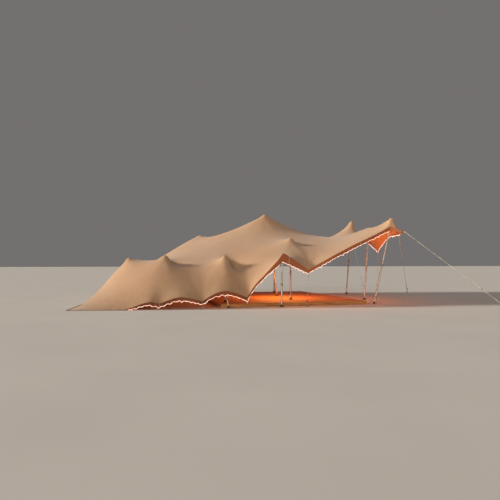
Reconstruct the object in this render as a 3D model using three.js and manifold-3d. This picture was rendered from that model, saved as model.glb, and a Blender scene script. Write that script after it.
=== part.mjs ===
// A stretch tent: one sheet of stretch fabric, tensioned over poles and pegged down along its left side.
// Units are millimetres. +X runs to the right along the front, +Y to the back, +Z up. The ground is z = 0.

import * as THREE from 'three';
import { mergeVertices } from 'three/addons/utils/BufferGeometryUtils.js';
import Module from 'manifold-3d';

const wasm = await Module();
wasm.setup();

// Fabric and the grid that its shape is worked out on
const FABRIC_THICKNESS = 12;
const COLUMNS = 40;
const ROWS = 26;
const STRIPS = 8;
const [FIRST_COLUMN, LAST_COLUMN] = [-1, COLUMNS + 1];
const [FIRST_ROW, LAST_ROW] = [-1, ROWS + 1];
const SEAM_GAP = 0.3;
const CONTACT_GAP = 0.3;
const RELAX_ROUNDS = 700;
const RELAX_FACTOR = 1.85;
const POLE_REACH = 4000;
const TIE_REACH = 8000;
const POINT_CORE = 100;
const LEFT_HEM_REACH = 60000;
const LEFT_HEM_CORE = 300;
const RIDGE_REACH = 30000;
const RIDGE_CORE = 100;
const RIDGE_WIDTH = 2000;
const UNDER_DEPTH = 1000;
const MERGE_DISTANCE = 1e-4;
const SKY = 10000;

// Poles
const POLE_SIDES = 12;
const CAP_RISE = 30;
const CAP_SKIRT = 45;
const CAP_TAPER = 0.8;
const FOOT_HEIGHT = 28;
const FOOT_TAPER = 0.7;
const TOE_HEIGHT = 18;
const TOE_RADIUS = 22;

// Ropes, stakes and pegs
const ROPE_SIDES = 8;
const GUY_DIAMETER = 16;
const TIE_DIAMETER = 12;
const CLAMP_RADIUS = 26;
const STAKE = { radius: 16, length: 260, headRadius: 30, headHeight: 14, lean: 0.3, ropeHeight: 110 };
const PEG = { radius: 10, length: 130, headRadius: 20, headHeight: 10, lean: 0.25, ropeHeight: 70 };

// String lights: one cable under the hem band, tied up to it at every second column
const CABLE_DIAMETER = 16;
const CABLE_SIDES = 8;
const CABLE_DROP = 16;
const CABLE_INSET = 44;
const CABLE_SAG = 20;
const TIE_THICKNESS = 8;
const TIE_SIDES = 6;
const TIE_GRIP = 0.12;

// Timber deck
const DECK = { left: -2820, right: 2950, front: -3950, back: 3100, top: 126, floor: 30, board: 32 };

// Hem stations. The fold above the hem passes through each one. `arrive` and `leave` are the steepness there,
// as a share of the straight line to the station before or after: 0 is level, above 1 is a sharp point.
// `band` is how far the hem band hangs down from the fold; 0 lies flat on the ground.
function station(x, y, z, band, arrive = 1, leave = 1) {
  return { point: new THREE.Vector3(x, y, z), band, arrive, leave };
}

const FRONT_LEFT = station(-8020, -3710, 0, 0);
const FRONT_RIGHT = station(4180, -4540, 2830, 110, 1.2, 0.3);
const BACK_LEFT = station(-6980, 3940, 0, 0);
const BACK_RIGHT = station(6050, 3550, 3000, 110);

const FRONT_HEM = [
  FRONT_LEFT,
  station(-7150, -3880, 0, 0),
  station(-6230, -4080, 0, 0, 1, 0.5),
  station(-5340, -4240, 260, 80, 0.3, 0),
  station(-5020, -4240, 190, 80, 1, 1),
  station(-4340, -4320, 410, 90, 0, 0),
  station(-3560, -4380, 250, 70, 1.6, 1.6),
  station(-2760, -4330, 600, 100, 0, 0),
  station(-1940, -4350, 350, 90, 1.6, 1.75),
  station(-1090, -4310, 1370, 110, 0.95, 0.8),
  station(-590, -4290, 2000, 340, 1.15, 0.85),
  station(460, -4160, 1340, 110, 1, 1.1),
  station(2260, -4180, 2280, 130, 0.95, 0.95),
  station(3820, -4235, 2997, 120, 1, 0.4),
  FRONT_RIGHT,
];

const RIGHT_HEM = [
  FRONT_RIGHT,
  station(4490, -3270, 2820, 100, 0, 0.4),
  station(4820, -2220, 2667, 100, 0.8, 1),
  station(5220, -880, 2244, 100, 1.2, 1.2),
  station(5560, 900, 2800, 110, 0.8, 0.8),
  station(5880, 2450, 3150, 110, 0.4, 0.4),
  BACK_RIGHT,
];

const BACK_HEM = [
  BACK_LEFT,
  station(-6100, 4120, 0, 0),
  station(-5300, 4230, 0, 0, 1, 0.5),
  station(-4400, 4300, 340, 90, 0, 0),
  station(-3700, 4330, 200, 70, 1.5, 1.5),
  station(-2950, 4360, 480, 100, 0, 0),
  station(-2150, 4380, 260, 90, 1.6, 1.6),
  station(-1200, 4350, 1300, 110, 0.95, 0.8),
  station(-600, 4330, 2000, 340, 1.15, 0.85),
  station(800, 4280, 1400, 110, 1, 1.1),
  station(3000, 4200, 2250, 130, 0.95, 0.95),
  station(5450, 3850, 3020, 120, 0.8, 0.4),
  BACK_RIGHT,
];

const LEFT_HEM = [
  FRONT_LEFT,
  station(-7750, -1800, 0, 0),
  station(-7300, 1500, 0, 0),
  BACK_LEFT,
];

// The hem band slopes inward as it hangs, and on the ground it lies flat outward
const BAND_SLOPE = 0.2;
const GROUND_BAND = 50;
const GROUND_BAND_FADE = 60;

// Poles: where the fabric's top is lifted to, where the foot stands, and how widely the cone at the top spreads
const TALL = { radius: 32, capRadius: 82, footRadius: 85 };
const SPLAYED = { ...TALL, footRadius: 60, legs: 5, legReach: 240, legHeight: 200, legRadius: 11 };
const SHORT = { radius: 26, capRadius: 66, footRadius: 70 };
const PROP = { radius: 20, capRadius: 44, footRadius: 46 };

const POLES = [
  { name: 'main_pole', top: [0, 0, 3780], foot: [550, -120], make: TALL },
  { name: 'left_pole', top: [-2730, 1250, 2870], foot: [-2560, 1180], make: TALL },
  { name: 'back_right_pole', top: [5600, 2640, 3800], foot: [5180, 2420], make: TALL },
  { name: 'front_right_pole', top: [3980, -4070, 3360], foot: [3380, -3750], make: SPLAYED },
  { name: 'front_middle_pole', top: [320, -2500, 2616], foot: [360, -2470], make: TALL, spread: 3 },
  { name: 'right_pole', top: [4290, -1670, 3150], foot: [4060, -1640], make: TALL },
  { name: 'back_middle_pole', top: [1300, 2600, 2650], foot: [1260, 2530], make: TALL, spread: 3 },
  { name: 'front_left_pole_1', top: [-5980, -1800, 1785], foot: [-5830, -1780], make: SHORT },
  { name: 'front_left_pole_2', top: [-4680, -2600, 1890], foot: [-4620, -2560], make: SHORT, spread: 3 },
  { name: 'front_left_pole_3', top: [-2510, -3120, 1900], foot: [-2480, -3080], make: SHORT, spread: 5 },
  { name: 'back_left_pole_1', top: [-5860, 2500, 1700], foot: [-5780, 2440], make: SHORT, spread: 3 },
  { name: 'back_left_pole_2', top: [-4300, 2800, 1820], foot: [-4250, 2730], make: SHORT, spread: 3 },
];

// Ridges: the fabric is drawn tight in a straight line from one of these poles to the other
const RIDGES = [
  { ends: ['left_pole', 'main_pole'], tightness: 2.8 },
  { ends: ['right_pole', 'front_right_pole'], tightness: 20 },
  { ends: ['front_left_pole_2', 'left_pole'], tightness: 1 },
  { ends: ['front_left_pole_1', 'front_left_pole_2'], tightness: 1.5 },
];

// Low points: places on the hem that are held down, where the fabric is drawn to a point from above
const LOW_POINTS = [
  { hem: 'front', position: 10 },
  { hem: 'front', position: 15 },
  { hem: 'front', position: 20 },
  { hem: 'front', position: 28 },
  { hem: 'right', position: 12 },
  { hem: 'back', position: 10 },
  { hem: 'back', position: 15 },
  { hem: 'back', position: 24 },
];

// Poles under the hem lift its edge, so their tops only meet the fabric
const HEM_POLES = [
  { name: 'front_arch_pole', head: [-590, -4080], foot: [-580, -4100], make: TALL },
  { name: 'front_prop', head: [-2640, -4190], foot: [-2600, -4170], make: PROP },
  { name: 'back_arch_pole', head: [-600, 4130], foot: [-590, 4140], make: TALL },
];

// Guy ropes and ties, each from a place on the hem to a stake in the ground
const GUYS = [
  { name: 'front_right_guy', hem: 'front', position: 40, pull: [1, -1, 0], ground: [6540, -7030] },
  { name: 'right_side_guy', hem: 'right', position: 2, pull: [1, -0.24, 0], ground: [8540, 2060] },
  { name: 'front_tie', hem: 'front', position: 28, ground: [340, -4330] },
  { name: 'right_tie', hem: 'right', position: 12, ground: [5090, -900] },
  { name: 'back_right_guy', hem: 'back', position: 40, pull: [1, 1, 0], ground: [8200, 6300] },
  { name: 'back_tie', hem: 'back', position: 24, ground: [760, 4560] },
];

// Low pegs that hold the scalloped hem down; each carries its short rope
const HEM_PEGS = [
  { name: 'front_hem_peg_1', hem: 'front', position: 15, offset: [0, -60] },
  { name: 'front_hem_peg_2', hem: 'front', position: 20, offset: [0, -60] },
  { name: 'back_hem_peg_1', hem: 'back', position: 10, offset: [0, 60] },
  { name: 'back_hem_peg_2', hem: 'back', position: 15, offset: [0, 60] },
];

const LOOKS = {
  fabric: { color: 0xc4a482, roughness: 0.85, metalness: 0 },
  aluminium: { color: 0xc9c7c2, roughness: 0.4, metalness: 0.9 },
  rope: { color: 0xe6e0d2, roughness: 0.9, metalness: 0 },
  steel: { color: 0x77797b, roughness: 0.45, metalness: 0.9 },
  cable: { color: 0x2c2a26, roughness: 0.6, metalness: 0 },
  timber: { color: 0xb99f7d, roughness: 0.75, metalness: 0 },
};

function lookOf(kind) {
  return new THREE.MeshStandardMaterial({ ...LOOKS[kind] });
}

// Solids

function solidOf(geometry) {
  const bare = geometry.clone();
  bare.deleteAttribute('normal');
  bare.deleteAttribute('uv');
  const merged = mergeVertices(bare, MERGE_DISTANCE);
  const triangles = [];
  const index = merged.index.array;
  for (let k = 0; k < index.length; k += 3) {
    const [a, b, c] = [index[k], index[k + 1], index[k + 2]];
    if (a !== b && b !== c && c !== a) triangles.push(a, b, c);
  }
  const mesh = new wasm.Mesh({
    numProp: 3,
    vertProperties: new Float32Array(merged.attributes.position.array),
    triVerts: new Uint32Array(triangles),
  });
  return new wasm.Manifold(mesh);
}

function geometryOf(solid) {
  const mesh = solid.getMesh();
  const geometry = new THREE.BufferGeometry();
  geometry.setAttribute('position', new THREE.BufferAttribute(new Float32Array(mesh.vertProperties), 3));
  geometry.setIndex(Array.from(mesh.triVerts));
  geometry.computeVertexNormals();
  return geometry;
}

function largestPiece(solid) {
  const pieces = solid.decompose();
  return pieces.reduce((best, piece) => (piece.volume() > best.volume() ? piece : best));
}

function rodSolid(from, to, radius, sides) {
  const along = to.clone().sub(from);
  const geometry = new THREE.CylinderGeometry(radius, radius, along.length(), sides);
  const up = new THREE.Vector3(0, 1, 0);
  geometry.applyQuaternion(new THREE.Quaternion().setFromUnitVectors(up, along.clone().normalize()));
  const middle = from.clone().add(to).multiplyScalar(0.5);
  geometry.translate(middle.x, middle.y, middle.z);
  return solidOf(geometry);
}

function discSolid(x, y, bottom, top, radius, topRadius = radius) {
  const geometry = new THREE.CylinderGeometry(topRadius, radius, top - bottom, POLE_SIDES);
  geometry.rotateX(Math.PI / 2);
  geometry.translate(x, y, (top + bottom) / 2);
  return solidOf(geometry);
}

function ballSolid(centre, radius) {
  const geometry = new THREE.IcosahedronGeometry(radius, 1);
  geometry.translate(centre.x, centre.y, centre.z);
  return solidOf(geometry);
}

// Hem: a run of stations laid on the grid, with a smooth curve between one station and the next

function stationSteps(stations, count, along) {
  const first = stations[0].point[along];
  const last = stations[stations.length - 1].point[along];
  return stations.map((each) => Math.round((count * (each.point[along] - first)) / (last - first)));
}

function easedShare(t, leave, arrive) {
  const rise = t * t * (3 - 2 * t);
  return rise + (t * t * t - 2 * t * t + t) * leave + (t * t * t - t * t) * arrive;
}

function hemSpan({ stations, steps }, position) {
  let span = 0;
  while (span < steps.length - 2 && position > steps[span + 1]) span += 1;
  const share = (position - steps[span]) / (steps[span + 1] - steps[span]);
  return { from: stations[span], to: stations[span + 1], share };
}

const HEMS = {
  front: { stations: FRONT_HEM, steps: stationSteps(FRONT_HEM, COLUMNS, 'x'), inward: [0, 1] },
  back: { stations: BACK_HEM, steps: stationSteps(BACK_HEM, COLUMNS, 'x'), inward: [0, -1] },
  left: { stations: LEFT_HEM, steps: stationSteps(LEFT_HEM, ROWS, 'y'), inward: [1, 0] },
  right: { stations: RIGHT_HEM, steps: stationSteps(RIGHT_HEM, ROWS, 'y'), inward: [-1, 0] },
};

function hemPoint(side, position) {
  const { from, to, share } = hemSpan(HEMS[side], position);
  const point = from.point.clone().lerp(to.point, share);
  point.z = THREE.MathUtils.lerp(from.point.z, to.point.z, easedShare(share, from.leave, to.arrive));
  return point;
}

// From the fold to the lower edge of the hem band
function bandOffset(side, position) {
  const { from, to, share } = hemSpan(HEMS[side], position);
  const band = THREE.MathUtils.lerp(from.band, to.band, share);
  const flat = GROUND_BAND * Math.max(0, 1 - band / GROUND_BAND_FADE);
  const inset = band * BAND_SLOPE - flat;
  const [x, y] = HEMS[side].inward;
  return new THREE.Vector3(x * inset, y * inset, -band);
}

function bandEdge(side, position) {
  return hemPoint(side, position).add(bandOffset(side, position));
}

// Fabric: each free knot of the net settles at the average of its four neighbours, as a tensioned net does

const knotIndex = (column, row) => row * (COLUMNS + 1) + column;

function gridPlace(x, y) {
  const corners = [FRONT_LEFT, FRONT_RIGHT, BACK_LEFT, BACK_RIGHT].map((each) => each.point);
  const [frontLeft, frontRight, backLeft, backRight] = corners;
  const { lerp } = THREE.MathUtils;
  let [u, v] = [0.5, 0.5];
  for (let round = 0; round < 8; round += 1) {
    const left = lerp(frontLeft.x, backLeft.x, v);
    const right = lerp(frontRight.x, backRight.x, v);
    u = (x - left) / (right - left);
    const front = lerp(frontLeft.y, frontRight.y, u);
    const back = lerp(backLeft.y, backRight.y, u);
    v = (y - front) / (back - front);
  }
  const column = THREE.MathUtils.clamp(Math.round(u * COLUMNS), 1, COLUMNS - 1);
  const row = THREE.MathUtils.clamp(Math.round(v * ROWS), 1, ROWS - 1);
  return { column, row };
}

function relaxedNet() {
  const knots = [];
  const held = new Set();
  for (let row = 0; row <= ROWS; row += 1) {
    const left = hemPoint('left', row);
    const right = hemPoint('right', row);
    for (let column = 0; column <= COLUMNS; column += 1) {
      const onHem = row === 0 || row === ROWS || column === 0 || column === COLUMNS;
      let knot = left.clone().lerp(right, column / COLUMNS);
      if (row === 0) knot = hemPoint('front', column);
      if (row === ROWS) knot = hemPoint('back', column);
      if (onHem) held.add(knots.length);
      knots.push(knot);
    }
  }
  for (const pole of POLES) {
    const { column, row } = gridPlace(pole.top[0], pole.top[1]);
    const index = knotIndex(column, row);
    knots[index].set(...pole.top);
    held.add(index);
  }
  settle(knots, held, () => 1, ['x', 'y']);
  settle(knots, held, poleStress, ['z']);
  return knots;
}

// Stress in the fabric gathers at each pole and low point, which makes straight-sided cones there, runs along
// each ridge, and gathers along the left hem, where the fabric is stretched down to the ground
function poleStress(a, b) {
  const middle = new THREE.Vector3((a.x + b.x) / 2, (a.y + b.y) / 2, 0);
  const edge = new THREE.Vector3(b.x - a.x, b.y - a.y, 0).normalize();
  const nearest = new THREE.Vector3();
  let stress = 1;
  for (const { top, spread = 1 } of POLES) {
    stress += (spread * POLE_REACH) / (Math.hypot(middle.x - top[0], middle.y - top[1]) + POINT_CORE);
  }
  for (const { hem, position } of LOW_POINTS) {
    const low = hemPoint(hem, position);
    stress += TIE_REACH / (Math.hypot(middle.x - low.x, middle.y - low.y) + POINT_CORE);
  }
  stress += LEFT_HEM_REACH / (Math.abs(middle.x - leftHemAt(middle.y)) + LEFT_HEM_CORE);
  for (const { ends, tightness } of RIDGES) {
    const tops = ends.map((name) => POLES.find((pole) => pole.name === name).top);
    const line = new THREE.Line3(...tops.map(([x, y]) => new THREE.Vector3(x, y, 0)));
    line.closestPointToPoint(middle, true, nearest);
    const distance = nearest.distanceTo(middle);
    const alignment = line.delta(new THREE.Vector3()).normalize().dot(edge) ** 2;
    const fade = Math.exp(-((distance / RIDGE_WIDTH) ** 2));
    stress += (tightness * alignment * fade * RIDGE_REACH) / (distance + RIDGE_CORE);
  }
  return stress;
}

// The left hem's x at a given y, straight from station to station
function leftHemAt(y) {
  const points = LEFT_HEM.map((each) => each.point);
  const next = points.findIndex((point) => point.y > y);
  if (next === 0) return points[0].x;
  if (next === -1) return points.at(-1).x;
  const [from, to] = [points[next - 1], points[next]];
  return THREE.MathUtils.mapLinear(y, from.y, to.y, from.x, to.x);
}

function settle(knots, held, stressOf, axes) {
  const freeKnots = [];
  for (let row = 1; row < ROWS; row += 1) {
    for (let column = 1; column < COLUMNS; column += 1) {
      const index = knotIndex(column, row);
      if (held.has(index)) continue;
      const near = [index - 1, index + 1, index - COLUMNS - 1, index + COLUMNS + 1];
      const stress = near.map((other) => stressOf(knots[index], knots[other]));
      const total = stress.reduce((sum, each) => sum + each, 0);
      freeKnots.push({ index, near, share: stress.map((each) => each / total) });
    }
  }
  for (let round = 0; round < RELAX_ROUNDS; round += 1) {
    for (const { index, near, share } of freeKnots) {
      for (const axis of axes) {
        const rest = near.reduce((sum, other, k) => sum + knots[other][axis] * share[k], 0);
        knots[index][axis] += RELAX_FACTOR * (rest - knots[index][axis]);
      }
    }
  }
}

const NET = relaxedNet();

// A knot of the net, or of the hem band's lower edge one step outside it
function knotAt(column, row) {
  const [c, r] = [THREE.MathUtils.clamp(column, 0, COLUMNS), THREE.MathUtils.clamp(row, 0, ROWS)];
  const knot = NET[knotIndex(c, r)].clone();
  const offsets = [];
  if (row < 0) offsets.push(bandOffset('front', c));
  if (row > ROWS) offsets.push(bandOffset('back', c));
  if (column < 0) offsets.push(bandOffset('left', r));
  if (column > COLUMNS) offsets.push(bandOffset('right', r));
  for (const offset of offsets) knot.add(offset.setZ(offset.z / offsets.length));
  return knot;
}

// Directions in the net: across it to the right, and along it to the back
function netTangents(column, row) {
  const [left, right] = [Math.max(column - 1, FIRST_COLUMN), Math.min(column + 1, LAST_COLUMN)];
  const [front, back] = [Math.max(row - 1, FIRST_ROW), Math.min(row + 1, LAST_ROW)];
  return {
    across: knotAt(right, row).sub(knotAt(left, row)).normalize(),
    along: knotAt(column, back).sub(knotAt(column, front)).normalize(),
  };
}

function netNormal(column, row) {
  const { across, along } = netTangents(column, row);
  return across.cross(along).normalize();
}

// The fabric's upper and lower skin at a knot. `extra` thickens it there and widens its hem.
function skinsAt(column, row, extra = 0) {
  const half = FABRIC_THICKNESS / 2 + extra;
  const { across, along } = netTangents(column, row);
  const middle = knotAt(column, row);
  if (column === FIRST_COLUMN) middle.addScaledVector(across, -extra);
  if (column === LAST_COLUMN) middle.addScaledVector(across, extra);
  if (row === FIRST_ROW) middle.addScaledVector(along, -extra);
  if (row === LAST_ROW) middle.addScaledVector(along, extra);
  const normal = netNormal(column, row);
  const under = middle.clone().addScaledVector(normal, -half);
  const over = middle.addScaledVector(normal, half);
  under.z = Math.max(under.z, -extra);
  over.z = Math.max(over.z, FABRIC_THICKNESS + extra);
  return { over, under };
}

// One closed sheet over the columns from first to last
function sheetGeometry(first, last, extra = 0) {
  const upper = [];
  const lower = [];
  for (let row = FIRST_ROW; row <= LAST_ROW; row += 1) {
    for (let column = first; column <= last; column += 1) {
      const { over, under } = skinsAt(column, row, extra);
      const { across } = netTangents(column, row);
      let seam = 0;
      if (column === first && first > FIRST_COLUMN) seam = SEAM_GAP / 2;
      if (column === last && last < LAST_COLUMN) seam = -SEAM_GAP / 2;
      upper.push(over.addScaledVector(across, seam));
      lower.push(under.addScaledVector(across, seam));
    }
  }
  return closedSheet(upper, lower, first, FIRST_ROW, last - first + 1);
}

// Each square of the net is folded along its shorter diagonal, the same in every sheet
function foldsForward(column, row) {
  const forward = knotAt(column, row).distanceTo(knotAt(column + 1, row + 1));
  return forward < knotAt(column + 1, row).distanceTo(knotAt(column, row + 1));
}

function closedSheet(upper, lower, firstColumn, firstRow, width) {
  const rows = upper.length / width;
  const triangles = [];
  const count = upper.length;
  for (let row = 0; row < rows - 1; row += 1) {
    for (let column = 0; column < width - 1; column += 1) {
      const a = row * width + column;
      const [b, c, d] = [a + 1, a + width + 1, a + width];
      const faces = foldsForward(firstColumn + column, firstRow + row)
        ? [[a, b, c], [a, c, d]]
        : [[a, b, d], [b, c, d]];
      for (const [p, q, r] of faces) {
        triangles.push(p, q, r);
        triangles.push(count + p, count + r, count + q);
      }
    }
  }
  // Both sides of a seam are cut along the same diagonals, so that they stay parallel
  const wall = (from, to, rising) => {
    const faces = rising
      ? [[to, from, count + to], [from, count + from, count + to]]
      : [[to, from, count + from], [to, count + from, count + to]];
    triangles.push(...faces.flat());
  };
  for (let column = 0; column < width - 1; column += 1) {
    wall(column, column + 1, true);
    wall((rows - 1) * width + column + 1, (rows - 1) * width + column, false);
  }
  for (let row = 0; row < rows - 1; row += 1) {
    wall((row + 1) * width, row * width, false);
    wall(row * width + width - 1, (row + 1) * width + width - 1, true);
  }
  const geometry = new THREE.BufferGeometry().setFromPoints([...upper, ...lower]);
  geometry.setIndex(triangles);
  geometry.computeVertexNormals();
  return geometry;
}

// The space under the fabric, which trims whatever props it up
function underSpace() {
  const upper = [];
  const lower = [];
  for (let row = 0; row <= ROWS; row += 1) {
    for (let column = 0; column <= COLUMNS; column += 1) {
      const under = knotAt(column, row);
      under.addScaledVector(netNormal(column, row), -FABRIC_THICKNESS / 2);
      under.z -= CONTACT_GAP;
      upper.push(under);
      lower.push(new THREE.Vector3(under.x, under.y, -UNDER_DEPTH));
    }
  }
  return solidOf(closedSheet(upper, lower, 0, 0, COLUMNS + 1));
}

const UNDER_SPACE = underSpace();
const FABRIC_WITH_CLEARANCE = solidOf(sheetGeometry(FIRST_COLUMN, LAST_COLUMN, CONTACT_GAP));

function fabricHeight(x, y) {
  const down = new THREE.Raycaster(new THREE.Vector3(x, y, SKY), new THREE.Vector3(0, 0, -1));
  const sheet = new THREE.Mesh(sheetGeometry(FIRST_COLUMN, LAST_COLUMN), lookOf('fabric'));
  const hits = down.intersectObject(sheet);
  return hits[0].point.z;
}

// Poles

function onDeck(x, y) {
  return x > DECK.left && x < DECK.right && y > DECK.front && y < DECK.back;
}

function poleSolid(head, foot, make) {
  const floor = onDeck(foot.x, foot.y) ? DECK.top + CONTACT_GAP : 0;
  const top = head.clone();
  const axisStart = new THREE.Vector3(foot.x, foot.y, floor + FOOT_HEIGHT / 2);
  const shaft = rodSolid(axisStart, top, make.radius, POLE_SIDES);
  const ankleRadius = make.footRadius * FOOT_TAPER;
  const base = discSolid(foot.x, foot.y, floor, floor + FOOT_HEIGHT, make.footRadius, ankleRadius);
  const skirtRadius = make.capRadius * CAP_TAPER;
  const cap = discSolid(top.x, top.y, top.z - CAP_SKIRT, top.z + CAP_RISE, skirtRadius, make.capRadius);
  const legs = legSolids(foot.x, foot.y, make);
  const whole = legs.reduce((sum, leg) => sum.add(leg), shaft.add(base).add(cap));
  return largestPiece(whole.intersect(UNDER_SPACE));
}

// Thin legs that splay from the pole down to the ground
function legSolids(x, y, make) {
  const legs = [];
  for (let leg = 0; leg < (make.legs ?? 0); leg += 1) {
    const angle = (2 * Math.PI * (leg + 0.5)) / make.legs;
    const hub = new THREE.Vector3(x, y, make.legHeight);
    const reach = new THREE.Vector3(Math.cos(angle), Math.sin(angle), 0).multiplyScalar(make.legReach);
    const toe = new THREE.Vector3(x, y, make.legRadius).add(reach);
    const rod = rodSolid(hub, toe, make.legRadius, ROPE_SIDES);
    legs.push(rod.add(discSolid(toe.x, toe.y, 0, TOE_HEIGHT, TOE_RADIUS)));
  }
  return legs;
}

// Ropes, stakes and pegs

function stakeSolid(x, y, away, make, clearance = 0) {
  const axis = new THREE.Vector3(away.x * make.lean, away.y * make.lean, 1).normalize();
  const start = new THREE.Vector3(x, y, 0).addScaledVector(axis, -make.radius * 2);
  const end = new THREE.Vector3(x, y, 0).addScaledVector(axis, make.length);
  const headStart = end.clone().addScaledVector(axis, -make.headHeight);
  const shaft = rodSolid(start, end, make.radius + clearance, ROPE_SIDES);
  const head = rodSolid(headStart, end, make.headRadius + clearance, POLE_SIDES);
  return shaft.add(head).trimByPlane([0, 0, 1], 0);
}

function stakeAxisPoint(x, y, away, make) {
  return new THREE.Vector3(x + away.x * make.lean * make.ropeHeight, y + away.y * make.lean * make.ropeHeight,
    make.ropeHeight);
}

// Where a rope's clamp meets the fabric: outside the fold, or under the hem band's edge.
// `beyond` is how far the fabric's skin reaches there in the pull's direction.
function hemAnchor({ hem, position, pull }) {
  const direction = new THREE.Vector3(...(pull ?? [0, 0, -1])).normalize();
  const place = pull ? hemPoint(hem, position) : bandEdge(hem, position);
  const outward = pull ? 0 : 1;
  const knots = {
    front: [position, -outward],
    back: [position, ROWS + outward],
    left: [-outward, position],
    right: [COLUMNS + outward, position],
  };
  const { over, under } = skinsAt(...knots[hem]);
  const beyond = Math.max(over.sub(place).dot(direction), under.sub(place).dot(direction));
  return { seat: place.addScaledVector(direction, beyond + CONTACT_GAP), direction };
}

function awayFrom(seat, x, y) {
  return new THREE.Vector3(x - seat.x, y - seat.y, 0).normalize();
}

// A rope from its clamp, which is cut flat against the fabric, to its stake
function ropeSolid({ seat, direction }, end, diameter) {
  const centre = seat.clone().addScaledVector(direction, CLAMP_RADIUS * 0.5);
  const rope = rodSolid(centre, end, diameter / 2, ROPE_SIDES).add(ballSolid(centre, CLAMP_RADIUS));
  return rope.trimByPlane(direction.toArray(), seat.dot(direction));
}

function guyParts(guy) {
  const anchor = hemAnchor(guy);
  const [x, y] = guy.ground;
  const away = awayFrom(anchor.seat, x, y);
  const clearStake = stakeSolid(x, y, away, STAKE, CONTACT_GAP);
  const tied = stakeAxisPoint(x, y, away, STAKE);
  const rope = ropeSolid(anchor, tied, guy.pull ? GUY_DIAMETER : TIE_DIAMETER).subtract(clearStake);
  return { rope: largestPiece(rope), stake: stakeSolid(x, y, away, STAKE), seat: anchor.seat };
}

function hemPegSolid(peg) {
  const anchor = hemAnchor(peg);
  const [x, y] = [anchor.seat.x + peg.offset[0], anchor.seat.y + peg.offset[1]];
  const away = awayFrom(anchor.seat, x, y);
  const rope = ropeSolid(anchor, stakeAxisPoint(x, y, away, PEG), TIE_DIAMETER);
  return { solid: rope.add(stakeSolid(x, y, away, PEG)), at: new THREE.Vector3(x, y, 0) };
}

// String lights

function cablePoint(side, position, drop) {
  const [x, y] = HEMS[side].inward;
  return bandEdge(side, position).add(new THREE.Vector3(x * CABLE_INSET, y * CABLE_INSET, -drop));
}

function cableSolid(side, first, last) {
  const points = [];
  for (let position = first; position <= last; position += 1) {
    const betweenTies = Math.sin((Math.PI * (position - first)) / 2) ** 2;
    points.push(cablePoint(side, position, CABLE_DROP + CABLE_SAG * betweenTies));
  }
  const section = new THREE.Shape().absarc(0, 0, CABLE_DIAMETER / 2, 0, 2 * Math.PI);
  const geometry = new THREE.ExtrudeGeometry(section, {
    steps: points.length - 1, extrudePath: new THREE.CatmullRomCurve3(points), curveSegments: CABLE_SIDES / 2,
  });
  let solid = solidOf(geometry);
  for (let position = first; position <= last; position += 2) {
    const hem = bandEdge(side, position).lerp(hemPoint(side, position), TIE_GRIP);
    solid = solid.add(rodSolid(cablePoint(side, position, CABLE_DROP), hem, TIE_THICKNESS / 2, TIE_SIDES));
  }
  return largestPiece(solid.subtract(FABRIC_WITH_CLEARANCE));
}

// Deck

function boxGeometry(x0, x1, y0, y1, z0, z1) {
  const geometry = new THREE.BoxGeometry(x1 - x0, y1 - y0, z1 - z0);
  geometry.translate((x0 + x1) / 2, (y0 + y1) / 2, (z0 + z1) / 2);
  return geometry;
}

function deckPieces() {
  const { left, right, front, back, top, floor, board } = DECK;
  const under = top - floor - CONTACT_GAP;
  const gap = CONTACT_GAP;
  return {
    deck_floor: boxGeometry(left, right, front, back, top - floor, top),
    deck_front_fascia: boxGeometry(left, right, front, front + board, 0, under),
    deck_back_fascia: boxGeometry(left, right, back - board, back, 0, under),
    deck_left_fascia: boxGeometry(left, left + board, front + board + gap, back - board - gap, 0, under),
    deck_right_fascia: boxGeometry(right - board, right, front + board + gap, back - board - gap, 0, under),
    deck_centre_bearer: boxGeometry(-board, board, front + board + gap, back - board - gap, 0, under),
  };
}

// The whole tent

const tent = new THREE.Group();

function addGroup() {
  const group = new THREE.Group();
  tent.add(group);
  return group;
}

function addPiece(group, name, geometry, look, origin = new THREE.Vector3()) {
  geometry.translate(-origin.x, -origin.y, -origin.z);
  const mesh = new THREE.Mesh(geometry, lookOf(look));
  mesh.name = name;
  mesh.position.copy(origin);
  group.add(mesh);
}

const canopy = addGroup();
const stripColumns = COLUMNS / STRIPS;
for (let strip = 0; strip < STRIPS; strip += 1) {
  const first = strip === 0 ? FIRST_COLUMN : strip * stripColumns;
  const last = strip === STRIPS - 1 ? LAST_COLUMN : (strip + 1) * stripColumns;
  const geometry = sheetGeometry(first, last);
  addPiece(canopy, `canopy_strip_${strip + 1}`, geometry, 'fabric');
}

const poles = addGroup();
for (const pole of POLES) {
  const foot = new THREE.Vector3(...pole.foot, 0);
  const solid = poleSolid(new THREE.Vector3(...pole.top), foot, pole.make);
  addPiece(poles, pole.name, geometryOf(solid), 'aluminium', foot);
}
for (const pole of HEM_POLES) {
  const foot = new THREE.Vector3(...pole.foot, 0);
  const head = new THREE.Vector3(...pole.head, fabricHeight(...pole.head));
  addPiece(poles, pole.name, geometryOf(poleSolid(head, foot, pole.make)), 'aluminium', foot);
}

const rigging = addGroup();
for (const guy of GUYS) {
  const { rope, stake, seat } = guyParts(guy);
  addPiece(rigging, guy.name, geometryOf(rope), 'rope', seat);
  addPiece(rigging, `${guy.name}_stake`, geometryOf(stake), 'steel', new THREE.Vector3(...guy.ground, 0));
}
for (const peg of HEM_PEGS) {
  const { solid, at } = hemPegSolid(peg);
  addPiece(rigging, peg.name, geometryOf(solid), 'steel', at);
}

const lights = addGroup();
addPiece(lights, 'front_string_lights', geometryOf(cableSolid('front', 9, 39)), 'cable');
addPiece(lights, 'right_string_lights', geometryOf(cableSolid('right', 1, 25)), 'cable');

const deck = addGroup();
for (const [name, geometry] of Object.entries(deckPieces())) {
  addPiece(deck, name, geometry, 'timber');
}

export default tent;
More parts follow.
